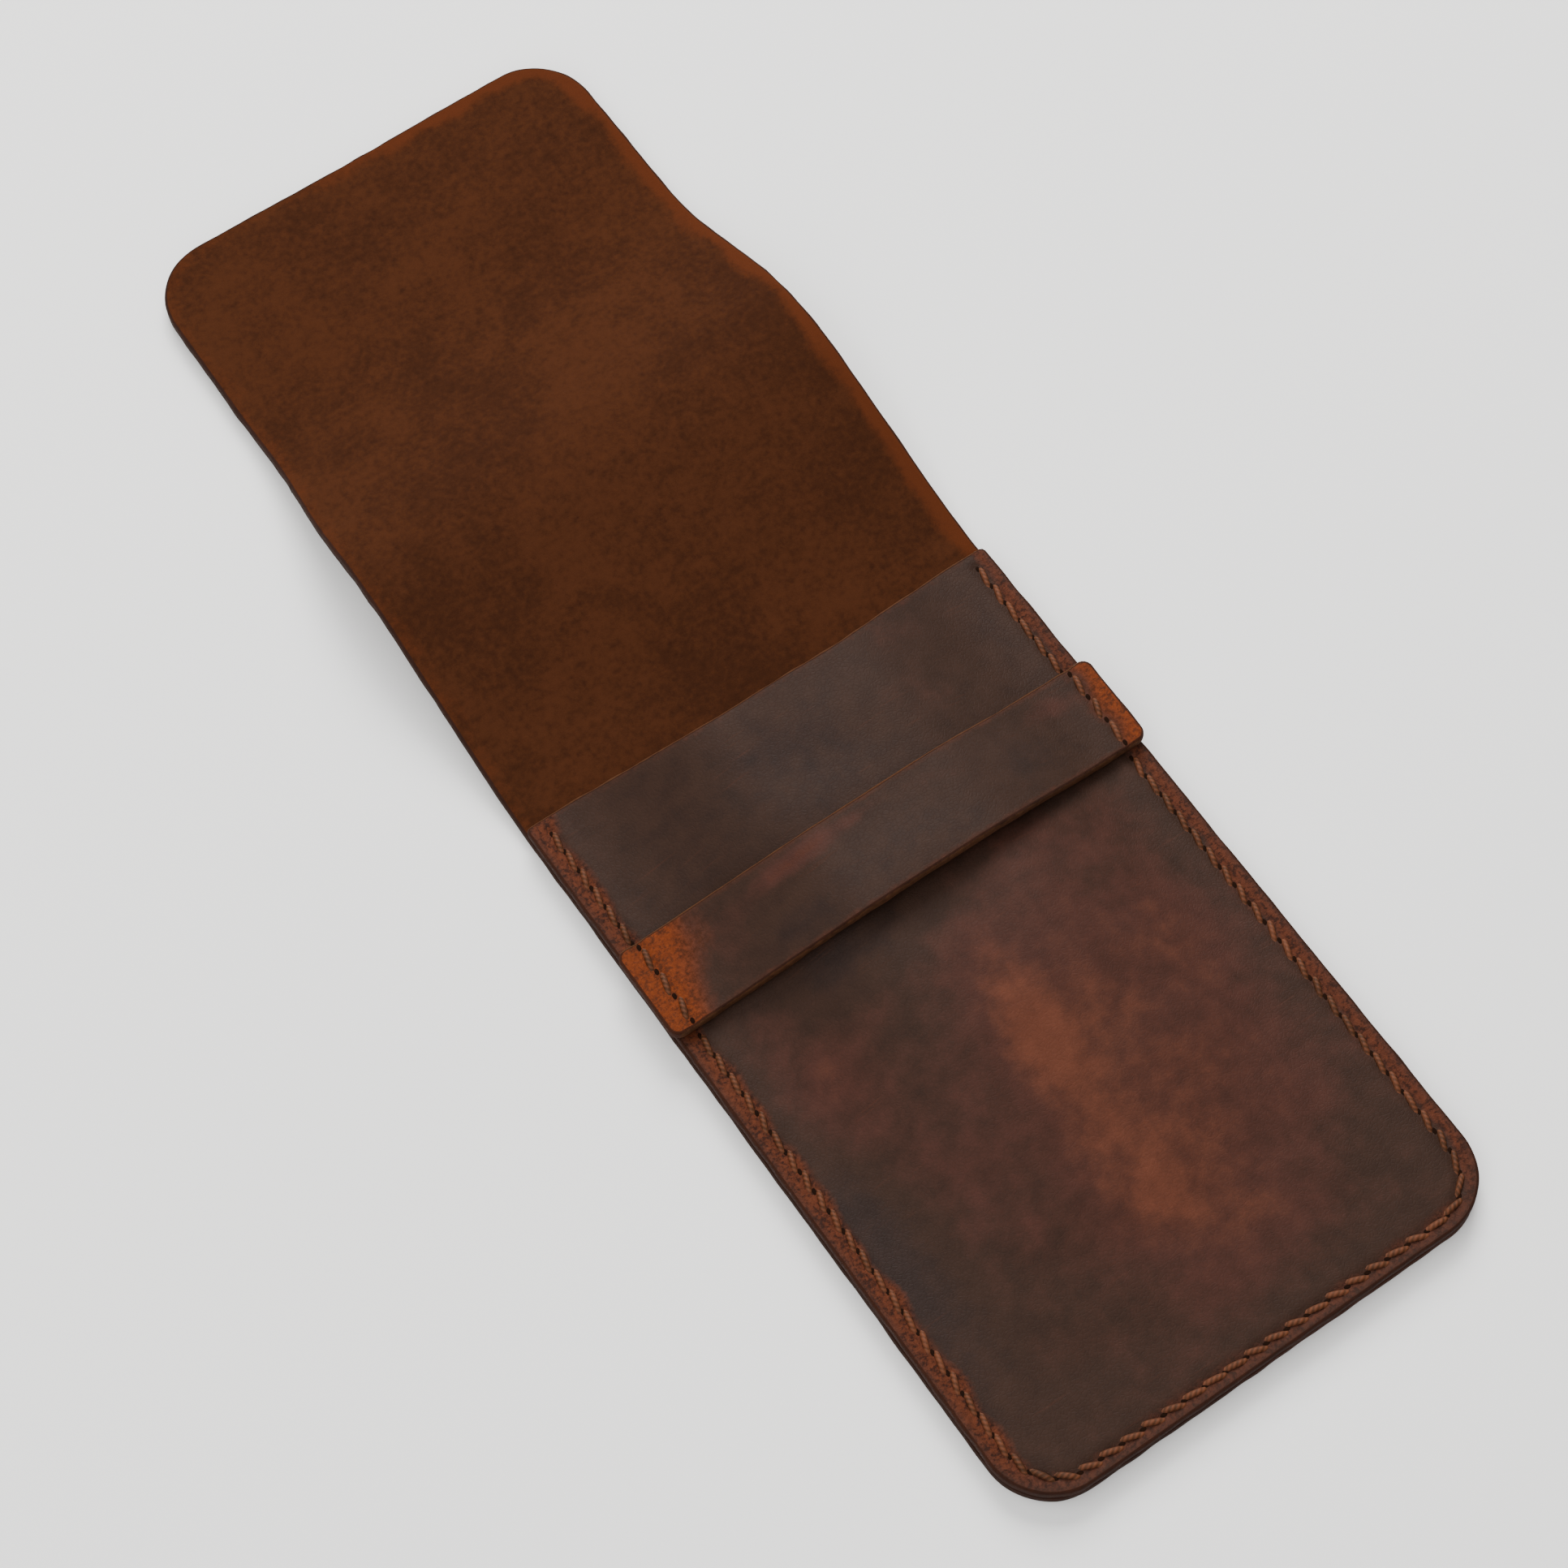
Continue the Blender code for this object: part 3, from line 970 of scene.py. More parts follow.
@dataclass(frozen=True)
class Finish:
    """What each finish has. Its bump is the strength and the depth of its fine relief."""

    name: str
    roughness: float
    shine: float
    bump: tuple[float, float] = (0.0, 0.0)

    def paint(self, work: MaterialWork) -> None:
        """Add the nodes, which differ from finish to finish."""
        raise NotImplementedError

    def material(self, groups: Groups) -> bpy.types.Material:
        """Build the material.

        Args:
            groups: The shared shader groups, by name.

        Returns:
            The material.
        """
        work = MaterialWork(self.name, groups)
        self.paint(work)
        return work.made

    def coat(self, work: MaterialWork, color: Socket, rough: Socket, height: Socket | None = None) -> None:
        """Give the shader its colour, roughness, shine and fine relief.

        Args:
            work: The material's node work.
            color: The surface's colour.
            rough: Its roughness.
            height: The heights of its fine relief, or nothing where it has none.
        """
        inputs = work.shader.inputs
        work.feed(inputs["Base Color"], color)
        work.feed(inputs["Roughness"], rough)
        work.feed(inputs["Specular IOR Level"], self.shine)
        if height is not None:
            strength, depth = self.bump
            bump = work.add("ShaderNodeBump", {"Strength": strength, "Distance": depth, "Height": height})
            work.feed(inputs["Normal"], bump.outputs["Normal"])


@dataclass(frozen=True)
class WaxedLeather(Finish):
    """The grain side: dark waxed leather that turns warm where it is bent or rubbed."""

    cool: str = "271C18"
    base: str = "2D1E17"
    russet: str = "3A221B"
    ember: str = "502C1F"
    rubbed: str = "40241A"
    worn: str = "552711"
    worn_dark: str = "28140D"
    pale: str = "5E3D27"
    grain: float = 1.0
    scuffs: float = 0.16
    roughness: float = 0.54
    roughness_pulled: float = 0.05
    roughness_worn: float = 0.16
    bump: tuple[float, float] = (0.40, 0.00012)
    shine: float = 0.07

    def paint(self, work: MaterialWork) -> None:
        """Add the nodes, which read the attributes place, pull, wear and tan.

        Args:
            work: The material's node work.
        """
        place = work.place()
        wear = work.attribute("wear")
        mottle = work.group("pull_up", Place=place, Pull=work.attribute("pull"), Cool=srgb(self.cool),
                            Base=srgb(self.base), Russet=srgb(self.russet), Ember=srgb(self.ember))
        rubbed = work.group("edge_wear", Place=place, Wear=wear)
        scuff = work.group("scuffs", Place=place)["Mask"]
        grain = work.group("leather_grain", Place=place, Size=self.grain)
        bare = work.mix(work.between(wear, low=0.62, high=1.38), srgb(self.rubbed), srgb(self.worn))
        rust = work.mix(rubbed["Flecks"], bare, srgb(self.worn_dark))
        grit = work.plus(work.noise(place, scale=1.2, detail=4.0, rough=0.75), 1.6, 0.22)
        color = work.mix(rubbed["Mask"], mottle["Color"], work.shaded(rust, grit))
        color = work.mix(work.math("MULTIPLY", scuff, self.scuffs), color, srgb(self.ember))
        rough = work.plus(mottle["Drift"], self.roughness_pulled, self.roughness)
        rough = work.plus(rubbed["Mask"], self.roughness_worn, rough, clamp=True)
        self.coat(work, work.pale_line(place, color, self.pale), rough, grain["Height"])


@dataclass(frozen=True)
class FleshLeather(Finish):
    """The flesh side: matt, brushed and warmer towards the edges."""

    base: str = "3B1F10"
    deep: str = "2A150A"
    light: str = "4B2916"
    edge: str = "4A2411"
    nap: float = 1.0
    nap_light: float = 0.45
    roughness: float = 0.84
    roughness_nap: float = 0.08
    bump: tuple[float, float] = (0.7, 0.00016)
    shine: float = 0.04
    sheen: float = 0.02
    sheen_roughness: float = 0.45
    sheen_tint: str = "B0754A"

    def paint(self, work: MaterialWork) -> None:
        """Add the nodes, which read the attributes place and wear.

        Args:
            work: The material's node work.
        """
        place = work.place()
        nap = work.group("nap", Place=place, Size=self.nap)
        rubbed = work.group("edge_wear", Place=place, Wear=work.attribute("wear"))
        broad = work.noise(place, scale=0.045, detail=4.0, rough=0.6, twist=0.5)
        middle = work.noise(place, scale=0.22, detail=4.0, rough=0.6)
        small = work.noise(place, scale=0.9, detail=4.0, rough=0.65)
        shade = work.plus(middle, 0.5, work.math("MULTIPLY", broad, 0.8))
        shade = work.plus(small, 0.9, shade)
        color = work.mix(work.between(shade, low=0.90, high=1.30), srgb(self.deep), srgb(self.base))
        color = work.mix(work.math("MULTIPLY", nap["Tone"], self.nap_light), color, srgb(self.light))
        color = work.mix(rubbed["Mask"], color, srgb(self.edge))
        self.coat(work, color, work.plus(nap["Tone"], self.roughness_nap, self.roughness), nap["Height"])
        work.feed(work.shader.inputs["Sheen Weight"], self.sheen)
        work.feed(work.shader.inputs["Sheen Roughness"], self.sheen_roughness)
        work.feed(work.shader.inputs["Sheen Tint"], srgb(self.sheen_tint))


@dataclass(frozen=True)
class CutEdge(Finish):
    """The cut edge: dark pressed fibres, tan where the edge shows from above."""

    dark: str = "2E1A12"
    rust: str = "4A2412"
    pale: str = "573722"
    nap: float = 1.6
    layers: float = 900.0
    roughness: float = 0.62
    roughness_nap: float = 0.2
    bump: tuple[float, float] = (0.8, 0.0002)
    shine: float = 0.08

    def paint(self, work: MaterialWork) -> None:
        """Add the nodes, which read the attributes place, wear and tan.

        Args:
            work: The material's node work.
        """
        place = work.place()
        fibres = work.group("nap", Place=work.stretched(place, (1.0, 1.0, self.layers)), Size=self.nap)
        rubbed = work.group("edge_wear", Place=place, Wear=work.attribute("wear"))
        share = work.math("MULTIPLY", rubbed["Mask"], fibres["Tone"])
        color = work.mix(share, srgb(self.dark), srgb(self.rust))
        rough = work.plus(fibres["Tone"], self.roughness_nap, self.roughness)
        self.coat(work, work.pale_line(place, color, self.pale), rough, fibres["Height"])


@dataclass(frozen=True)
class WaxedThread(Finish):
    """Waxed thread with its plies, which turn around it along each stitch."""

    # light and dark are partly painted highlight and shade on the plies, partly the thread's own tone.
    light: str = "5C3420"
    dark: str = "38200F"
    plies: float = 5.0
    strands: float = 2.0
    roughness: float = 0.5
    roughness_fuzz: float = 0.25
    bump: tuple[float, float] = (0.5, 0.00004)
    shine: float = 0.14

    def paint(self, work: MaterialWork) -> None:
        """Add the nodes, which read the attributes along and around.

        Args:
            work: The material's node work.
        """
        place = work.add("ShaderNodeTexCoord").outputs["Object"]
        around = work.math("MULTIPLY", work.attribute("around"), self.strands)
        turn = work.plus(work.attribute("along"), self.plies, around)
        ply = work.math("SINE", work.math("MULTIPLY", turn, math.tau))
        fuzz = work.noise(place, scale=2600.0, detail=3.0, rough=0.6)
        drift = work.noise(place, scale=90.0)
        # Partly painted highlight and shade: lighter where each ply rises, darker in the grooves between
        # plies, with the thread's own uneven tone.
        share = work.plus(ply, 0.22, work.plus(fuzz, 0.5, drift))
        color = work.mix(work.between(share, low=0.35, high=1.15), srgb(self.dark), srgb(self.light))
        rough = work.plus(fuzz, self.roughness_fuzz, self.roughness)
        self.coat(work, color, rough, work.plus(fuzz, 0.4, ply))


@dataclass(frozen=True)
class HoleShade(Finish):
    """The shadowed leather inside a stitch hole."""

    # Painted shade: these dark colours stand for the shadow inside the hole.
    deep: str = "0F0805"
    light: str = "201109"
    roughness: float = 0.75
    roughness_shade: float = 0.2
    shine: float = 0.03

    def paint(self, work: MaterialWork) -> None:
        """Add the nodes, which read no attribute.

        Args:
            work: The material's node work.
        """
        shade = work.noise(work.add("ShaderNodeTexCoord").outputs["Object"], scale=1500.0)
        color = work.mix(shade, srgb(self.deep), srgb(self.light))
        self.coat(work, color, work.plus(shade, self.roughness_shade, self.roughness))


@dataclass
class Finishes:
    """Every material of the case, built once."""

    groups: Groups = field(default_factory=dict)

    def __post_init__(self) -> None:
        """Build the groups and the materials."""
        for group in (group_pull_up(), group_edge_wear(), group_grain(), group_scuffs(), group_nap()):
            self.groups[group.name] = group
        band = WaxedLeather("waxed_leather_band", ember="4A210B", worn="5D290F", worn_dark="3E1D0D")
        self.front = WaxedLeather("waxed_leather_front").material(self.groups)
        self.band = band.material(self.groups)
        self.back = WaxedLeather("waxed_leather_back").material(self.groups)
        self.flesh = FleshLeather("flesh_side").material(self.groups)
        self.edge = CutEdge("cut_edge").material(self.groups)
        self.thread = WaxedThread("waxed_thread").material(self.groups)
        # The stitch holes are painted shade: a dark material on a lens, not a real recess.
        self.hole = HoleShade("stitch_hole").material(self.groups)

    def dress(self, piece: bpy.types.Object, grain: bpy.types.Material) -> None:
        """Give a leather piece its grain side, flesh side and cut edge."""
        for material in (grain, self.flesh, self.edge):
            piece.data.materials.append(material)


def fix_to_pocket(piece: bpy.types.Object, node: str) -> None:
    """Let a piece ride on the pocket in place of its CAD node.

    Args:
        piece: The finished piece.
        node: The node that it replaces.
    """
    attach(piece, "pocket")
    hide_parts(node)


@dataclass(frozen=True)
class Bend:
    """Where a piece of the flap turns from one body to the next."""

    before: str
    after: str
    mark: float
    reach: float


@dataclass(frozen=True)
class FlapPiece:
    """One piece of the long leather, from a start to an end along it."""

    name: str
    node: str
    slot: str
    start: float
    end: float
    bend: Bend | None


@dataclass
class LeatherPart:
    """What each leather part of the case has: its sizes, its finishes and its marks."""

    form: PocketForm
    finishes: Finishes

    def marks(self) -> dict[str, Field]:
        """Return the rules of the attributes that the finishes read."""
        return {"wear": self.wear, "pull": self.pull, "tan": self.tan}


@dataclass
class BackAndFlap(LeatherPart):
    """The one long leather of the back and the flap, in pieces that meet where nothing bends."""

    flap: FlapForm
    furrow: Furrow = Furrow(0.00055, 0.0007)
    bend_reach: tuple[float, ...] = (0.0092, 0.0022, 0.0018, 0.0022, 0.0092)
    fold_fill: float = 0.0004
    fold_fill_half: float = 0.0022
    fold_join: float = 0.0042
    tip_join: float = 0.0109
    grading: Grading = Grading(0.00042, 0.0011, 6 * MM)
    short_piece: float = 0.03
    rub: Border = Border(1.0, 4.4 * MM, 4.0 * MM)
    rub_wander: Unevenness = Unevenness(0.9 * MM, 15 * MM, 3)
    rub_left: float = 0.45
    rub_gain: float = 0.62
    rub_turn: float = 30 * MM
    pull_on_bends: float = 0.5
    pull_half: float = 5 * MM
    pull_elsewhere: float = -0.15
    edge_tan: float = 0.10

    def upper(self, x: Array, v: Array) -> Array:
        """Keep the upper face on the surface itself."""
        return 0 * x * v

    def lower(self, x: Array, v: Array) -> Array:
        """Return the underside's depth, with the back seam's furrow and fuller leather between folds.

        Args:
            x: Places across.
            v: Places along.

        Returns:
            The depths, below 0.
        """
        furrow = self.furrow.at(self.form.from_seam(x, v)) * self.form.below_mouth(v)
        folds = self.flap.folds
        fills = [(low + high) / 2 for low, high in zip(folds, folds[1:])]
        fill = sum(np.exp(-((v - middle) / self.fold_fill_half) ** 2) for middle in fills)
        return furrow - self.form.leather - self.fold_fill * fill

    def wear(self, x: Array, v: Array) -> Array:
        """Return how worn the leather is, most at its edges and more to the right.

        Args:
            x: Places across.
            v: Places along.

        Returns:
            The amounts of wear.
        """
        away = self.flap.edge_distance(x, v) + self.rub_wander.at(x, v)
        side = self.rub_left + self.rub_gain * smooth(0.5 + x / self.rub_turn)
        return side * self.rub.at(away)

    def pull(self, x: Array, v: Array) -> Array:
        """Return where the grain side is pulled lighter: over the bends."""
        bends = sum(np.exp(-((v - mark) / self.pull_half) ** 2) for mark in self.flap.folds)
        return self.pull_on_bends * bends + self.pull_elsewhere + 0 * x

    def tan(self, x: Array, v: Array) -> Array:
        """Return where a pale line shows: a little, along the flap's edge."""
        return self.edge_tan * (v > self.form.length) + 0 * x

    def pieces(self) -> list[FlapPiece]:
        """List the pieces from the pocket's bottom to the flap's end.

        Returns:
            The pieces in order.
        """
        root, fold_1, fold_2, fold_3, tip = self.flap.marks
        cuts = (0.0, (root + fold_1) / 2, (fold_1 + fold_2) / 2, (fold_2 + fold_3) / 2,
                fold_3 + self.fold_join, tip - self.tip_join, self.flap.end)
        bodies = ("pocket", "flap_root", "fold_strip_1", "fold_strip_2", "flap_middle", "flap_tip")
        bends = [Bend(*turn) for turn in zip(bodies, bodies[1:], self.flap.marks, self.bend_reach)]
        # The fifth piece, the flap's middle, stays straight.
        bends.insert(4, None)
        names = [("back_leather_piece", "back_panel", "back_leather")]
        names += [("flap_leather_" + part, "flap_" + part, f"flap_{part}_leather")
                  for part in ("root", "fold_1", "fold_2", "middle", "tip")]
        return [FlapPiece(*name, start, end, bend)
                for name, start, end, bend in zip(names, cuts, cuts[1:], bends)]

    def v_lines(self, start: float, end: float) -> Array:
        """Divide one piece along its length, finely at its rims, seams and bends.

        Args:
            start: Where the piece starts along the leather.
            end: Where it ends.

        Returns:
            The places of the divisions.
        """
        low = start + RIM if start == 0.0 else start
        high = end - RIM if end == self.flap.end else end
        if end - start < self.short_piece:
            fine = self.grading.fine
            return Grading(fine, fine, fine).divide(low, high)
        stops = ()
        if start == 0.0:
            stops = (self.form.corner_radius, self.form.length)
        if end == self.flap.end:
            stops = (end - self.flap.corner_radius,)
        return self.grading.divide(low, high, stops)

    def build(self) -> list[bpy.types.Object]:
        """Build, dress and place every piece.

        Returns:
            The pieces in order.
        """
        half = self.form.half_width - RIM
        made = []
        for part in self.pieces():
            first, last = part.start == 0.0, part.end == self.flap.end
            radii = (self.form.corner_radius if first else 0.0, self.flap.corner_radius if last else 0.0)
            sheet = LeatherSheet(
                name=part.name, surface=self.flap.surface, half_width=self.flap.half_width,
                x_lines=self.grading.divide(-half, half, corner_stops(half, radii)),
                v_lines=self.v_lines(part.start, part.end), upper=self.upper, lower=self.lower,
                corner_radii=radii, cut_ends=(not first, not last), upper_side=Side.FLESH,
                marks=self.marks())
            piece = sheet.build()
            self.finishes.dress(piece, self.finishes.back)
            self.place(piece, part.bend)
            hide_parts(part.node)
            made.append(piece)
        return made

    def place(self, piece: bpy.types.Object, bend: Bend | None) -> None:
        """Let the flap's straight middle ride on its body; every other piece stays where it was built.

        Args:
            piece: The finished piece.
            bend: Where it bends, or nothing for the flap's straight middle.
        """
        if bend is None:
            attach(piece, "flap_middle")
            return
        along = np.array([bend.mark - bend.reach, bend.mark + bend.reach])
        start, end = self.flap.surface(np.zeros(2), along)
        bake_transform(piece)


@dataclass
class SewnPart(LeatherPart):
    """What the front and the band share: they are sewn on with the grain side up."""

    grading: Grading = Grading(0.00042, 0.0010, 6 * MM)
    grading_along: Grading = Grading(0.00042, 0.0010, 6 * MM)
    patches: tuple[Patch, ...] = ()

    def lower(self, x: Array, v: Array) -> Array:
        """Return the flesh side's depth under the middle surface."""
        return -self.form.leather / 2 + 0 * x * v

    def pull(self, x: Array, v: Array) -> Array:
        """Return where the wax is pulled lighter or lies darker; one spot on the front also holds painted
        light.
        """
        return sum(patch.at(x, v) for patch in self.patches)

    def surface(self, x: Array, v: Array) -> Array:
        """Return the part's middle surface in world points."""
        return np.stack([x + 0 * v, v + self.form.bottom, self.level(x, v)], axis=-1)

    def sewn(self, names: tuple[str, str, str], half_width: float, span: tuple[float, float],
             radii: tuple[float, float], grain: bpy.types.Material) -> bpy.types.Object:
        """Build, dress and place the part's sheet.

        Args:
            names: The names of the piece, of the node that it replaces and of its slot.
            half_width: Half its width.
            span: Where it starts and ends along the leather.
            radii: The radii of its lower and upper corners.
            grain: The finish of its grain side.

        Returns:
            The piece.
        """
        name, node, slot = names
        half = half_width - RIM
        low, high = span
        sheet = LeatherSheet(
            name=name, surface=self.surface, half_width=lambda v: half_width + 0 * v,
            x_lines=self.grading.divide(-half, half, corner_stops(half, radii)),
            v_lines=self.grading_along.divide(low + RIM, high - RIM, (low + radii[0], high - radii[1])),
            upper=self.upper, lower=self.lower, corner_radii=radii, bow=self.bow, marks=self.marks())
        piece = sheet.build()
        self.finishes.dress(piece, grain)
        fix_to_pocket(piece, node)
        return piece


@dataclass
class FrontPanel(SewnPart):
    """The front of the pocket, shaped by what it carries and rubbed along its seams."""

    furrow: Furrow = Furrow(0.00038, 0.0009)
    crown: float = 0.00013
    crown_pitch: float = 0.0185
    crown_length: float = 0.034
    crown_share: float = 0.8
    unevenness: Unevenness = Unevenness(0.00016, 21 * MM, 8)
    loose_share: float = 0.5
    loose_start: float = 8 * MM
    scoop_start: float = 0.6
    mouth_radius: float = 0.0009
    left_turn: float = 8 * MM
    side_start: float = 2 * MM
    side_fade: float = 9 * MM
    rub_reach: float = 3.7 * MM
    rub_reach_left: float = 1.3 * MM
    rub_wander: Unevenness = Unevenness(0.7 * MM, 11 * MM, 4)
    rub_fade: float = 1.9 * MM
    rub_bottom: float = 0.74
    rub_side: float = 0.20
    rub_left: float = 0.06
    rim_share: float = 0.65
    rim_width: float = 1.4 * MM
    mouth_rub: Border = Border(0.42, 2.0 * MM, 1.8 * MM)
    mouth_tan: Border = Border(0.75, 0.50 * MM, 0.4 * MM)
    patches: tuple[Patch, ...] = (
        Patch(6, 44, 30, 34, 0.52), Patch(-0.8, 55, 6.5, 11, 0.62), Patch(-0.8, 43, 5.5, 10, 0.28),
        Patch(-0.2, 26, 9.0, 12, 0.58), Patch(-0.5, 68, 4, 7, 0.25), Patch(-1.5, 51, 3, 5, 0.16),
        Patch(13, 30, 11, 17, 0.35), Patch(12, 60, 8, 18, 0.32), Patch(26, 56, 7, 14, 0.36),
        Patch(-27, 66, 7, 8, 0.54), Patch(-20, 38, 8, 14, 0.22), Patch(-34, 38, 6, 22, -0.60),
        # Patch(-28, 76.5) is partly painted light: it lightens the front under the band's left end, where
        # the band casts shadow.
        Patch(-15, 77, 12, 5, -0.55), Patch(24, 75, 14, 5, 0.22), Patch(-28, 76.5, 6, 4, 0.45),
        Patch(25, 28, 7, 8, 0.30), Patch(11, 15, 8, 6, 0.30), Patch(-2, 10, 8, 5, 0.20),
        Patch(-28, 56, 6, 6, 0.22), Patch(-6, 108, 15, 7, -0.25), Patch(15, 104, 12, 6, 0.08),
        Patch(-25, 104, 8, 8, -0.15), Patch(22, 115, 10, 3, 0.25), Patch(-5, 114, 9, 3, 0.15),
        Patch(0, 100, 30, 3, -0.10),
    )

    def level(self, x: Array, v: Array) -> Array:
        """Return the height of the panel's middle surface.

        Args:
            x: Places across.
            v: Places along.

        Returns:
            The heights.
        """
        form = self.form
        mouth = smooth((v - form.length + self.crown_length) / self.crown_length)
        held = form.arch(x, form.bulge_edge, self.crown_share * form.bulge_edge)
        crowns = self.crown * np.cos(math.tau * x / self.crown_pitch) * mouth * held
        loose = form.arch(x, form.bulge_edge, self.loose_share * form.bulge_edge)
        loose = loose * smooth((v - form.seam_margin) / self.loose_start)
        raised = form.front_top - form.leather / 2 + form.bulge(x, v) + crowns
        return raised + self.unevenness.at(x, v) * loose

    def upper(self, x: Array, v: Array) -> Array:
        """Return the grain side's height over the middle surface, pulled in along the seam."""
        furrow = self.furrow.at(self.form.from_seam(x, v)) * self.form.below_mouth(v)
        return self.form.leather / 2 - furrow

    def scoop(self, x: Array) -> Array:
        """Return how far the mouth's edge is drawn down."""
        return self.form.mouth_scoop * self.form.front_arch(x)

    def bow(self, x: Array, v: Array) -> Array:
        """Draw the mouth's edge down where the leather stands up."""
        near = smooth((v / self.form.length - self.scoop_start) / (1 - self.scoop_start))
        return -self.scoop(x) * near

    def mouth_distance(self, x: Array, v: Array) -> Array:
        """Return how far a place lies below the mouth's edge."""
        return self.form.length - self.scoop(x) - v

    def wear(self, x: Array, v: Array) -> Array:
        """Return how worn the grain side is, most along the seams.

        Args:
            x: Places across.
            v: Places along.

        Returns:
            The amounts of wear.
        """
        away = self.form.edge_distance(x, v)
        left = smooth(0.5 - x / self.left_turn)
        side = smooth((v - self.side_start) / self.side_fade)
        reach = self.rub_reach + self.rub_reach_left * left * side + self.rub_wander.at(x, v)
        strength = self.rub_bottom + side * (self.rub_side + self.rub_left * left)
        rim = self.rim_share + (1 - self.rim_share) * smooth(away / self.rim_width)
        rubbed = strength * smooth((reach - away) / self.rub_fade) * rim
        return np.maximum(rubbed, self.mouth_rub.at(self.mouth_distance(x, v)))

    def tan(self, x: Array, v: Array) -> Array:
        """Return where the pale cut edge shows: along the mouth."""
        return self.mouth_tan.at(self.mouth_distance(x, v))

    def build(self) -> bpy.types.Object:
        """Build, dress and place the front.

        Returns:
            The piece.
        """
        names = ("front_leather_piece", "front_panel", "front_leather")
        radii = (self.form.corner_radius, self.mouth_radius)
        return self.sewn(names, self.form.half_width, (0.0, self.form.length), radii, self.finishes.front)


@dataclass
class ClosureBand(SewnPart):
    """The band across the front, worn orange at its sewn ends."""

    furrow: Furrow = Furrow(0.00032, 0.0009)
    upper_droop: float = 0.0010
    unevenness: Unevenness = Unevenness(0.00014, 19 * MM, 12)
    loose_share: float = 0.6
    end_radius: float = 0.0016
    grading: Grading = Grading(0.00040, 0.0009, 7 * MM)
    grading_along: Grading = Grading(0.00040, 0.6 * MM, 2 * MM)
    end_reach: float = 5.5 * MM
    end_reach_left: float = 5.0 * MM
    end_wander: Unevenness = Unevenness(0.9 * MM, 8 * MM, 6)
    end_soft: float = 1.5 * MM
    end_fade: float = 7 * MM
    end_fade_left: float = 3 * MM
    end_rub: float = 1.35
    end_rub_left: float = 0.05
    edge_rub: Border = Border(0.50, 1.5 * MM, 1.1 * MM)
    upper_tan: Border = Border(0.82, 0.50 * MM, 0.4 * MM)
    lower_tan: Border = Border(0.60, 0.40 * MM, 0.4 * MM)
    patches: tuple[Patch, ...] = (
        Patch(-13, 91.6, 8.5, 1.8, 0.80), Patch(-3, 92.0, 4, 1.2, 0.35), Patch(12, 89, 7, 5, 0.22),
        Patch(-19, 85, 5, 4, -0.25), Patch(1, 85, 9, 4, -0.30), Patch(22, 87, 7, 4, -0.20),
        Patch(31, 93, 6, 2.0, 0.55), Patch(-27, 88, 5, 6, 0.35),
    )

    @property
    def half_length(self) -> float:
        """Half the band's length, a little past the pocket's edges."""
        return self.form.half_width + self.form.band_overhang

    def level(self, x: Array, v: Array) -> Array:
        """Return the height of the band's middle surface.

        Args:
            x: Places across.
            v: Places along.

        Returns:
            The heights.
        """
        form = self.form
        share = (v - form.band_lower + form.band_bow) / form.band_height
        droop = self.upper_droop * smooth(share) * form.band_arch(x)
        loose = form.arch(x, form.band_free_edge, self.loose_share * form.band_free_edge)
        bulge = form.band_rise * form.band_arch(x)
        return form.band_top - form.leather / 2 + bulge - droop + self.unevenness.at(x, v) * loose

    def upper(self, x: Array, v: Array) -> Array:
        """Return the grain side's height, pulled in along the seam."""
        away = self.form.half_width - np.abs(x) - self.form.seam_inset
        return self.form.leather / 2 - self.furrow.at(away)

    def bow(self, x: Array, v: Array) -> Array:
        """Draw both edges down where the band stands up."""
        return -self.form.band_bow * self.form.band_arch(x)

    def from_edges(self, x: Array, v: Array) -> Pair:
        """Return how far a place lies in from the band's lower and upper edge."""
        straight = v - self.bow(x, v)
        return straight - self.form.band_lower, self.form.band_upper - straight

    def wear(self, x: Array, v: Array) -> Array:
        """Return how worn the grain side is: its ends, in a slanted fade, and its long edges.

        Args:
            x: Places across.
            v: Places along.

        Returns:
            The amounts of wear.
        """
        in_from_end = self.half_length - np.abs(x)
        left = 1.0 * (x < 0)
        rise = smooth((v - self.form.band_lower) / self.form.band_height)
        longer = left * (self.end_reach_left + self.end_reach_left * rise)
        reach = self.end_reach + longer + self.end_wander.at(x, v)
        fade = self.end_fade + self.end_fade_left * left
        strength = self.end_rub + self.end_rub_left * left
        ends = strength * smooth((reach + self.end_soft - in_from_end) / fade)
        return np.maximum(ends, self.edge_rub.at(np.minimum(*self.from_edges(x, v))))

    def tan(self, x: Array, v: Array) -> Array:
        """Return where the pale cut edge shows."""
        from_lower, from_upper = self.from_edges(x, v)
        return np.maximum(self.upper_tan.at(from_upper), self.lower_tan.at(from_lower))

    def build(self) -> bpy.types.Object:
        """Build, dress and place the band.

        Returns:
            The piece.
        """
        names = ("band_leather_piece", "closure_band", "band_leather")
        radii = (self.end_radius, self.end_radius)
        span = (self.form.band_lower, self.form.band_upper)
        return self.sewn(names, self.half_length, span, radii, self.finishes.band)


@dataclass(frozen=True)
class StitchForm:
    """The sizes of a stitch and its hole, which the node tree takes as its inputs."""

    pitch: float = 0.0034
    dash: float = 0.0034
    radius: float = 0.00045
    rise: float = 0.00018
    sink: float = 0.00034
    slant: float = -0.30
    slack: float = 0.12
    hole_length: float = 0.0011
    hole_width: float = 0.00072
    hole_depth: float = 0.00022

    def named(self) -> dict[str, float]:
        """Return the sizes by the names of the tree's inputs, such as Hole Length."""
        return {name.replace("_", " ").title(): size for name, size in asdict(self).items()}


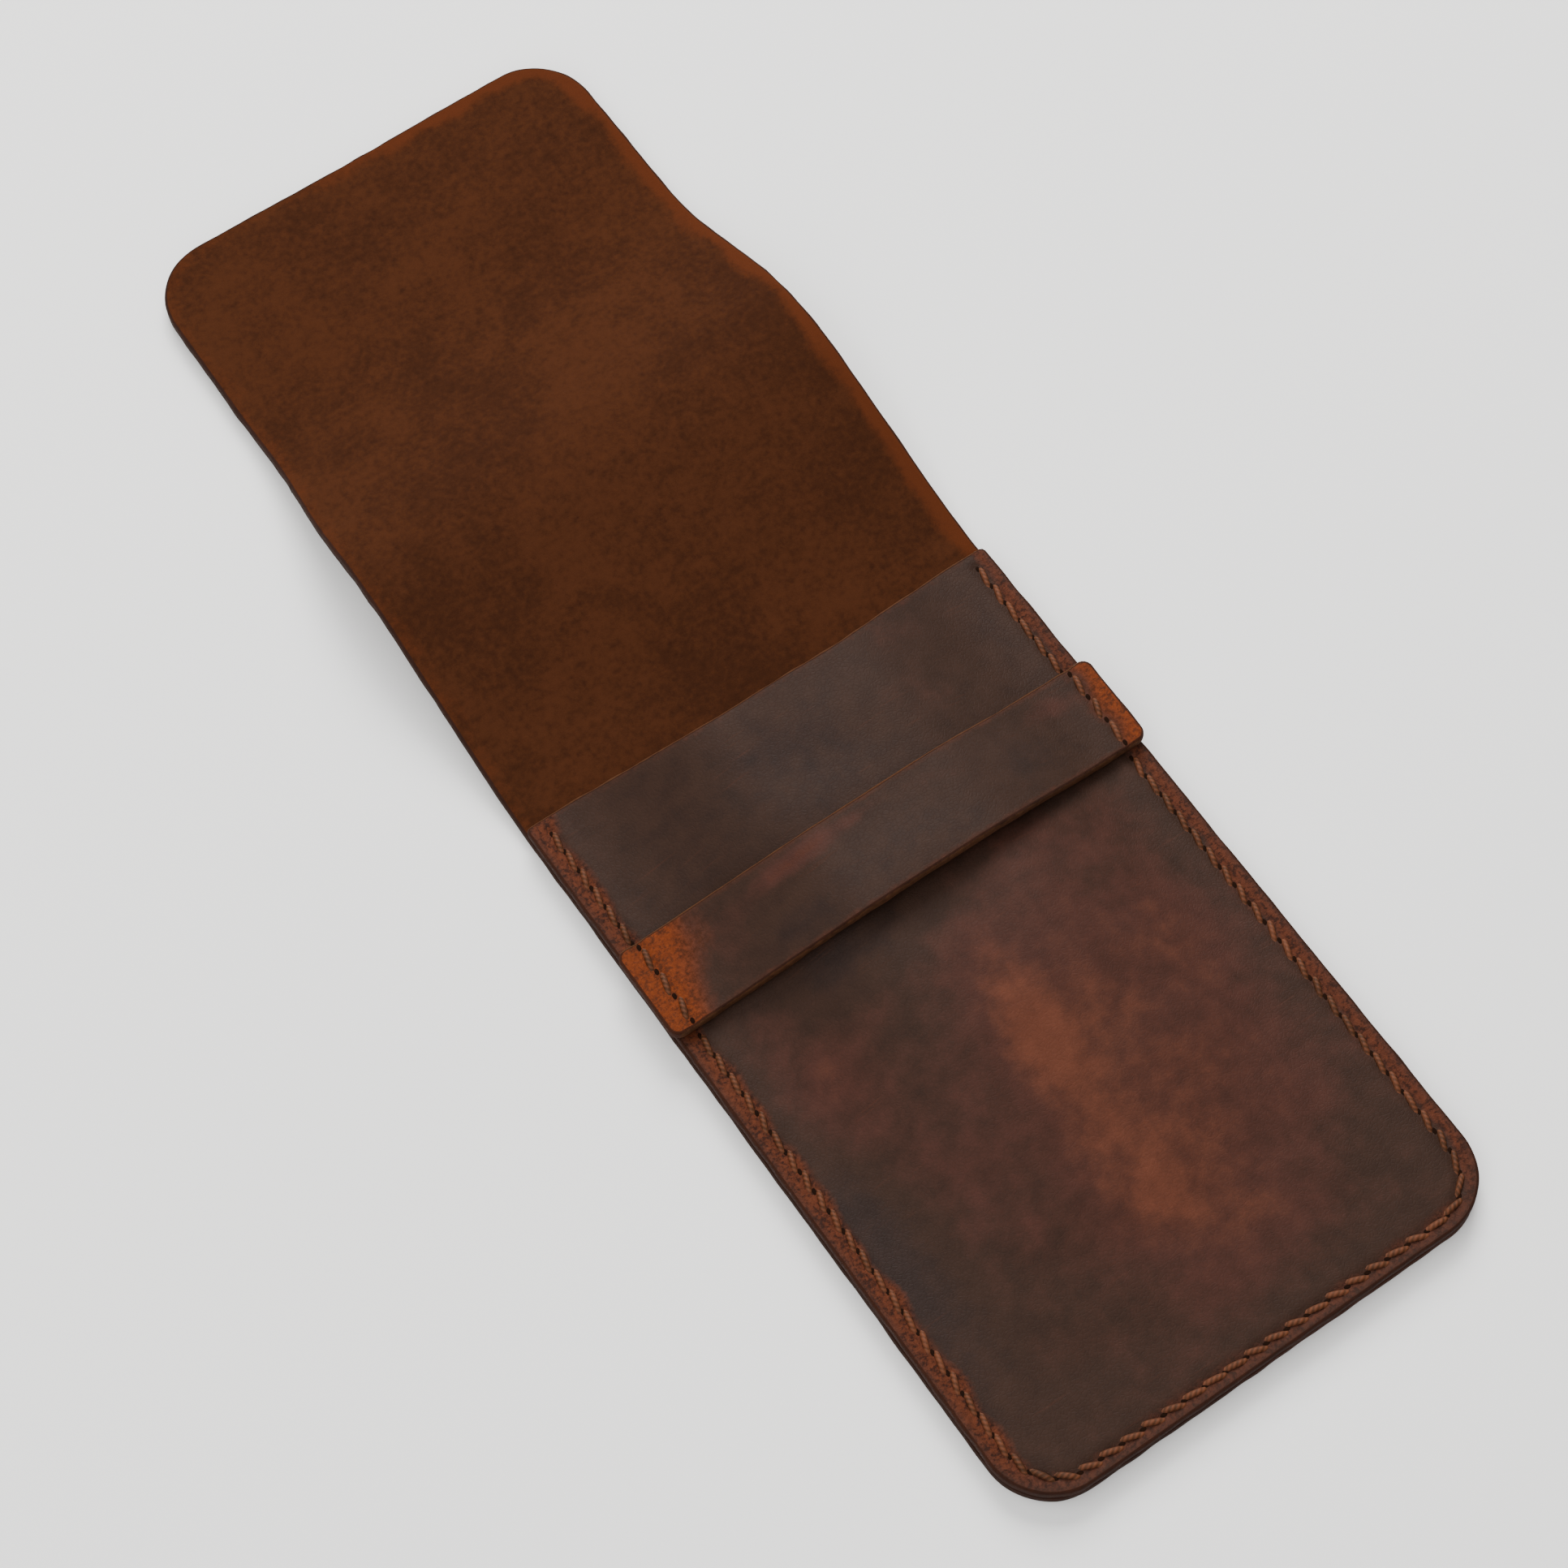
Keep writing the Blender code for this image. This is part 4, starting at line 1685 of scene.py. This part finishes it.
@dataclass(frozen=True)
class StitchNodes:
    """The node tree that turns a seam's line into slanted stitches and their holes."""

    arc_steps: int = 6
    thread_sides: int = 7
    hole_sides: int = 10
    hole_rings: int = 5

    def tree(self) -> bpy.types.NodeTree:
        """Build the tree.

        Returns:
            The tree, with its sizes as named inputs.
        """
        tree = bpy.data.node_groups.new("saddle_stitches", "GeometryNodeTree")
        kinds = {"Geometry": ["Geometry"], "Float": StitchForm().named(), "Int": ["Seed"],
                 "Material": ["Thread", "Hole"]}
        for kind, labels in kinds.items():
            for label in labels:
                tree.interface.new_socket(name=label, in_out="INPUT", socket_type="NodeSocket" + kind)
        tree.interface.new_socket(name="Geometry", in_out="OUTPUT", socket_type="NodeSocketGeometry")
        work = NodeWork(tree)
        given = work.add("NodeGroupInput").outputs
        path, turned = self.path(work, given)
        both = work.add("GeometryNodeJoinGeometry")
        for mode, shape, material in (("EDGES", self.dash(work, given), given["Thread"]),
                                      # The holes' lenses carry painted shade.
                                      ("VERTICES", self.hole(work, given), given["Hole"])):
            points = work.add("GeometryNodeMeshToPoints", {"Mesh": path}, mode=mode).outputs[0]
            copies = work.add("GeometryNodeInstanceOnPoints",
                              {"Points": points, "Instance": shape, "Rotation": turned}).outputs[0]
            real = work.add("GeometryNodeRealizeInstances", {"Geometry": copies}).outputs[0]
            dyed = work.add("GeometryNodeSetMaterial", {"Geometry": real, "Material": material}).outputs[0]
            work.feed(both.inputs[0], dyed)
        work.add("NodeGroupOutput", {"Geometry": both.outputs[0]})
        return tree

    def path(self, work: NodeWork, given: bpy.types.NodeOutputs) -> tuple[Socket, Socket]:
        """Add the nodes that divide the line by the pitch and turn each stitch along it.

        Args:
            work: The tree's node work.
            given: The tree's inputs.

        Returns:
            The divided line, and the turn of each stitch.
        """
        line = work.add("GeometryNodeMeshToCurve", {"Mesh": given["Geometry"]}).outputs[0]
        line = work.add("GeometryNodeResampleCurve", {"Curve": line, "Length": given["Pitch"]},
                        mode="LENGTH")
        run = work.add("GeometryNodeInputTangent").outputs[0]
        marked = self.stored(work, line.outputs[0], "run", run, "FLOAT_VECTOR")
        path = work.add("GeometryNodeCurveToMesh", {"Curve": marked}).outputs[0]
        run, lie = (work.add("GeometryNodeInputNamedAttribute", {"Name": name},
                             data_type="FLOAT_VECTOR").outputs[0] for name in ("run", "lie"))
        lies = work.add("FunctionNodeAxesToRotation", {"Primary Axis": lie, "Secondary Axis": run},
                        primary_axis="Z", secondary_axis="X").outputs[0]
        low = work.math("MULTIPLY", given["Slack"], -1.0)
        chance = work.add("FunctionNodeRandomValue", {2: low, 3: given["Slack"], "Seed": given["Seed"]},
                          data_type="FLOAT").outputs[1]
        slant = work.math("ADD", given["Slant"], chance)
        about = work.add("FunctionNodeAxisAngleToRotation", {"Axis": (0, 0, 1), "Angle": slant}).outputs[0]
        turned = work.add("FunctionNodeRotateRotation", {"Rotation": lies, "Rotate By": about},
                          rotation_space="LOCAL").outputs[0]
        return path, turned

    def stored(self, work: NodeWork, shape: Socket, name: str, value: Socket, kind: str) -> Socket:
        """Store a value at each point of a shape, for the material or for later nodes."""
        return work.add("GeometryNodeStoreNamedAttribute", {"Geometry": shape, "Name": name, "Value": value},
                        data_type=kind, domain="POINT").outputs[0]

    def dash(self, work: NodeWork, given: bpy.types.NodeOutputs) -> Socket:
        """Add the nodes of one dash of thread: a short arched tube whose ends are sunk.

        Args:
            work: The tree's node work.
            given: The tree's inputs.

        Returns:
            The dash, lying along X.
        """
        half = work.math("MULTIPLY", given["Dash"], 0.5)
        back = work.math("MULTIPLY", half, -1.0)
        down = work.math("MULTIPLY", given["Sink"], -1.0)
        top = work.plus(given["Rise"], 2.0, given["Sink"])
        ends = {label: work.add("ShaderNodeCombineXYZ", place).outputs[0]
                for label, place in (("Start", {0: back, 2: down}), ("Middle", {2: top}),
                                     ("End", {0: half, 2: down}))}
        arc = work.add("GeometryNodeCurveQuadraticBezier", {"Resolution": self.arc_steps, **ends}).outputs[0]
        sizes = {"Resolution": self.thread_sides, "Radius": given["Radius"]}
        ring = work.add("GeometryNodeCurvePrimitiveCircle", sizes, mode="RADIUS").outputs[0]
        share = work.add("GeometryNodeSplineParameter").outputs["Factor"]
        arc = self.stored(work, arc, "along", share, "FLOAT")
        ring = self.stored(work, ring, "around", share, "FLOAT")
        tube = work.add("GeometryNodeCurveToMesh", {"Curve": arc, "Profile Curve": ring, "Fill Caps": True})
        soft = work.add("GeometryNodeSetShadeSmooth", {"Geometry": tube.outputs[0], "Shade Smooth": True})
        return soft.outputs[0]

    def hole(self, work: NodeWork, given: bpy.types.NodeOutputs) -> Socket:
        """Add the nodes of one awl hole: a slim lens that lies in the furrow and carries the hole's painted
        shade.

        Args:
            work: The tree's node work.
            given: The tree's inputs.

        Returns:
            The hole, with its long way along X.
        """
        ball = work.add("GeometryNodeMeshUVSphere", {"Segments": self.hole_sides, "Rings": self.hole_rings,
                                                     "Radius": 0.5}).outputs[0]
        size = work.add("ShaderNodeCombineXYZ", {0: given["Hole Length"], 1: given["Hole Width"],
                                                 2: given["Hole Depth"]}).outputs[0]
        return work.add("GeometryNodeTransform", {"Geometry": ball, "Scale": size}).outputs[0]


@dataclass
class SaddleSeam:
    """The seam of waxed thread down both sides of the pocket and round its bottom."""

    form: PocketForm
    front: FrontPanel
    band: ClosureBand
    back: BackAndFlap
    finishes: Finishes
    stitch: StitchForm = StitchForm()
    band_gap: float = 0.0009
    line_step: float = 0.0004
    front_seed: int = 11
    back_seed: int = 23

    def __post_init__(self) -> None:
        """Build the stitches' node tree."""
        self.tree = StitchNodes().tree()

    def side_line(self, start: float, end: float, sign: int) -> Array:
        """Return flat points down one side of the pocket.

        Args:
            start: Where the line starts along the leather.
            end: Where it ends.
            sign: 1 for the right side and -1 for the left.

        Returns:
            Rows of x and v.
        """
        count = max(2, round(abs(end - start) / self.line_step))
        v = np.linspace(start, end, count)
        return np.stack([sign * (self.form.half_width - self.form.seam_inset) + 0 * v, v], axis=-1)

    def round_line(self, top: float) -> Array:
        """Return flat points from one side's top, round the bottom and up the other side.

        Args:
            top: Where the line starts and ends along the leather.

        Returns:
            Rows of x and v.
        """
        radius = self.form.corner_radius
        middle = self.form.half_width - radius
        turn = np.linspace(0, math.pi / 2, round(radius * math.pi / 2 / self.line_step))[1:]
        inner = radius - self.form.seam_depth(middle + radius * np.cos(turn), radius - radius * np.sin(turn))
        corner = np.stack([middle + inner * np.cos(turn), radius - inner * np.sin(turn)], axis=-1)
        right = np.concatenate([self.side_line(top, radius, 1), corner])
        bottom_x = np.linspace(middle, -middle, round(2 * middle / self.line_step))[1:-1]
        bottom = np.stack([bottom_x, corner[-1, 1] + 0 * bottom_x], axis=-1)
        left = right[::-1] * np.array([-1.0, 1.0])
        return np.concatenate([right, bottom, left])

    def on_grain(self, part: SewnPart, flat: Array) -> Pair:
        """Lift flat points onto the grain side of the front or the band.

        Args:
            part: The front or the band.
            flat: Rows of x and v.

        Returns:
            World points and the leather's upward directions there.
        """
        x, v = flat[:, 0], flat[:, 1]
        up = upward(part.surface, x, v)
        return part.surface(x, v) + up * part.upper(x, v)[:, None], up

    def on_back(self, flat: Array) -> Pair:
        """Lay flat points into the furrow under the back.

        Args:
            flat: Rows of x and v.

        Returns:
            World points and the downward directions there.
        """
        level = self.form.leather + self.back.lower(flat[:, 0], flat[:, 1])
        points = np.stack([flat[:, 0], flat[:, 1] + self.form.bottom, level], axis=-1)
        return points, np.tile([0.0, 0.0, -1.0], (len(flat), 1))

    def line_object(self, name: str, lines: list[Pair]) -> bpy.types.Object:
        """Make a mesh of the seam's lines, with the leather's direction at each point.

        Args:
            name: The mesh's name.
            lines: World points and directions of each run.

        Returns:
            The mesh's object.
        """
        points = np.concatenate([line[0] for line in lines])
        ups = np.concatenate([line[1] for line in lines])
        edges = []
        start = 0
        for line, _ in lines:
            edges += [(start + index, start + index + 1) for index in range(len(line) - 1)]
            start += len(line)
        mesh = bpy.data.meshes.new(name)
        mesh.from_pydata(points, edges, [])
        lie = mesh.attributes.new("lie", "FLOAT_VECTOR", "POINT")
        lie.data.foreach_set("vector", ups.astype(np.float32).ravel())
        return linked(name, mesh)

    def stitched(self, name: str, lines: list[Pair], stitch: StitchForm, seed: int) -> bpy.types.Object:
        """Run the node tree over the lines and keep the result as a plain mesh.

        Args:
            name: The piece's name.
            lines: World points and upward directions of each run.
            stitch: The sizes of its stitches and holes.
            seed: Picks the small differences between stitches.

        Returns:
            The stitches and holes as one object.
        """
        line = self.line_object(name + "_line", lines)
        work = line.modifiers.new("stitches", "NODES")
        work.node_group = self.tree
        values = {**stitch.named(), "Seed": seed, "Thread": self.finishes.thread, "Hole": self.finishes.hole}
        for item in self.tree.interface.items_tree:
            if item.in_out == "INPUT" and item.name in values:
                work[item.identifier] = values[item.name]
        depsgraph = bpy.context.evaluated_depsgraph_get()
        mesh = bpy.data.meshes.new_from_object(line.evaluated_get(depsgraph), preserve_all_data_layers=True,
                                               depsgraph=depsgraph)
        mesh.name = name
        bpy.data.objects.remove(line, do_unlink=True)
        return linked(name, mesh)

    def front_lines(self) -> list[Pair]:
        """Return the runs of the front's seam: above the band, on it and below it.

        Returns:
            World points and directions of each run.
        """
        form = self.form
        mouth = form.length - form.seam_mouth_gap
        lines = []
        for sign in (1, -1):
            above = self.side_line(mouth, form.band_upper + self.band_gap, sign)
            along = self.side_line(form.band_upper - self.band_gap, form.band_lower + self.band_gap, sign)
            for part, flat in ((self.front, above), (self.band, along)):
                points, ups = self.on_grain(part, flat)
                lines.append((points[::sign], ups[::sign]))
        lines.append(self.on_grain(self.front, self.round_line(form.band_lower - self.band_gap)))
        return lines

    def build(self) -> list[bpy.types.Object]:
        """Build both faces of the seam.

        Returns:
            The front's stitches and the back's.
        """
        around = [self.on_back(self.round_line(self.form.length - self.form.seam_mouth_gap))]
        leaning_back = replace(self.stitch, slant=-self.stitch.slant)
        front = self.stitched("seam_stitches_front", self.front_lines(), self.stitch, self.front_seed)
        back = self.stitched("seam_stitches_back", around, leaning_back, self.back_seed)
        for piece, node in ((front, "seam_thread_front"), (back, "seam_thread_back")):
            fix_to_pocket(piece, node)
        return [front, back]


@dataclass(frozen=True)
class Softbox:
    """A square soft light that faces the case."""

    name: str
    place: tuple[float, float, float]
    size: float
    power: float

    def build(self) -> None:
        """Hang the light."""
        data = bpy.data.lights.new(self.name, "AREA")
        data.shape = "SQUARE"
        data.size = self.size
        data.energy = self.power
        lamp = linked(self.name, data)
        lamp.location = self.place
        lamp.rotation_euler = (-Vector(self.place)).to_track_quat("-Z", "Y").to_euler()


@dataclass
class Studio:
    """A pale floor, soft lights and the camera."""

    floor_size: float = 3.0
    floor_drop: float = 0.0002
    floor_color: str = "F4F3F1"
    floor_roughness: float = 0.9
    room_light: float = 0.43
    lens: float = 87.3
    sensor: float = 36.0
    camera_place: tuple[float, float, float] = (-0.1369, -0.1986, 0.4927)
    camera_turn: tuple[float, float, float] = (25.161, 0.0, -34.795)
    lights: tuple[Softbox, ...] = (
        Softbox("key_softbox", (0.45, 0.75, 0.80), 0.70, 24.0),
        Softbox("top_softbox", (-0.35, 0.10, 1.10), 1.00, 9.2),
        Softbox("fill_softbox", (-0.70, -0.60, 0.60), 0.80, 6.0),
    )

    def build(self) -> None:
        """Set up the floor, the lights, the surroundings and the camera."""
        self.floor()
        for light in self.lights:
            light.build()
        self.surroundings()
        self.camera()

    def floor(self) -> None:
        """Lay the pale floor just below the case."""
        half = self.floor_size / 2
        corners = [(x * half, y * half, -self.floor_drop) for x, y in ((-1, -1), (1, -1), (1, 1), (-1, 1))]
        mesh = bpy.data.meshes.new("floor")
        mesh.from_pydata(corners, [], [(0, 1, 2, 3)])
        work = MaterialWork("pale_floor", {})
        work.feed(work.shader.inputs["Base Color"], srgb(self.floor_color))
        work.feed(work.shader.inputs["Roughness"], self.floor_roughness)
        mesh.materials.append(work.made)
        floor = linked("floor", mesh)

    def surroundings(self) -> None:
        """Fill the room with even pale light."""
        world = bpy.data.worlds.new("studio")
        bpy.context.scene.world = world
        world.use_nodes = True
        back = world.node_tree.nodes["Background"]
        back.inputs["Color"].default_value = (1.0, 1.0, 1.0, 1.0)
        back.inputs["Strength"].default_value = self.room_light

    def camera(self) -> None:
        """Place the camera at the angle of the photograph."""
        data = bpy.data.cameras.new("camera")
        data.lens = self.lens
        data.sensor_width = self.sensor
        camera = linked("camera", data)
        camera.location = self.camera_place
        camera.rotation_euler = [math.radians(angle) for angle in self.camera_turn]
        bpy.context.scene.camera = camera


def main() -> None:
    """Build the case and its studio."""
    logging.basicConfig(level=logging.INFO, format="%(message)s")
    pocket = PocketForm.from_frame()
    finishes = Finishes()
    leather = BackAndFlap(pocket, finishes, FlapForm.from_frame(pocket))
    front = FrontPanel(pocket, finishes)
    band = ClosureBand(pocket, finishes)
    seam = SaddleSeam(pocket, front, band, leather, finishes)
    made = leather.build() + [front.build(), band.build()] + seam.build()
    Studio().build()
    for piece in made:
        LOG.info("%s: %d faces", piece.name, len(piece.data.polygons))


if __name__ == "__main__":
    main()
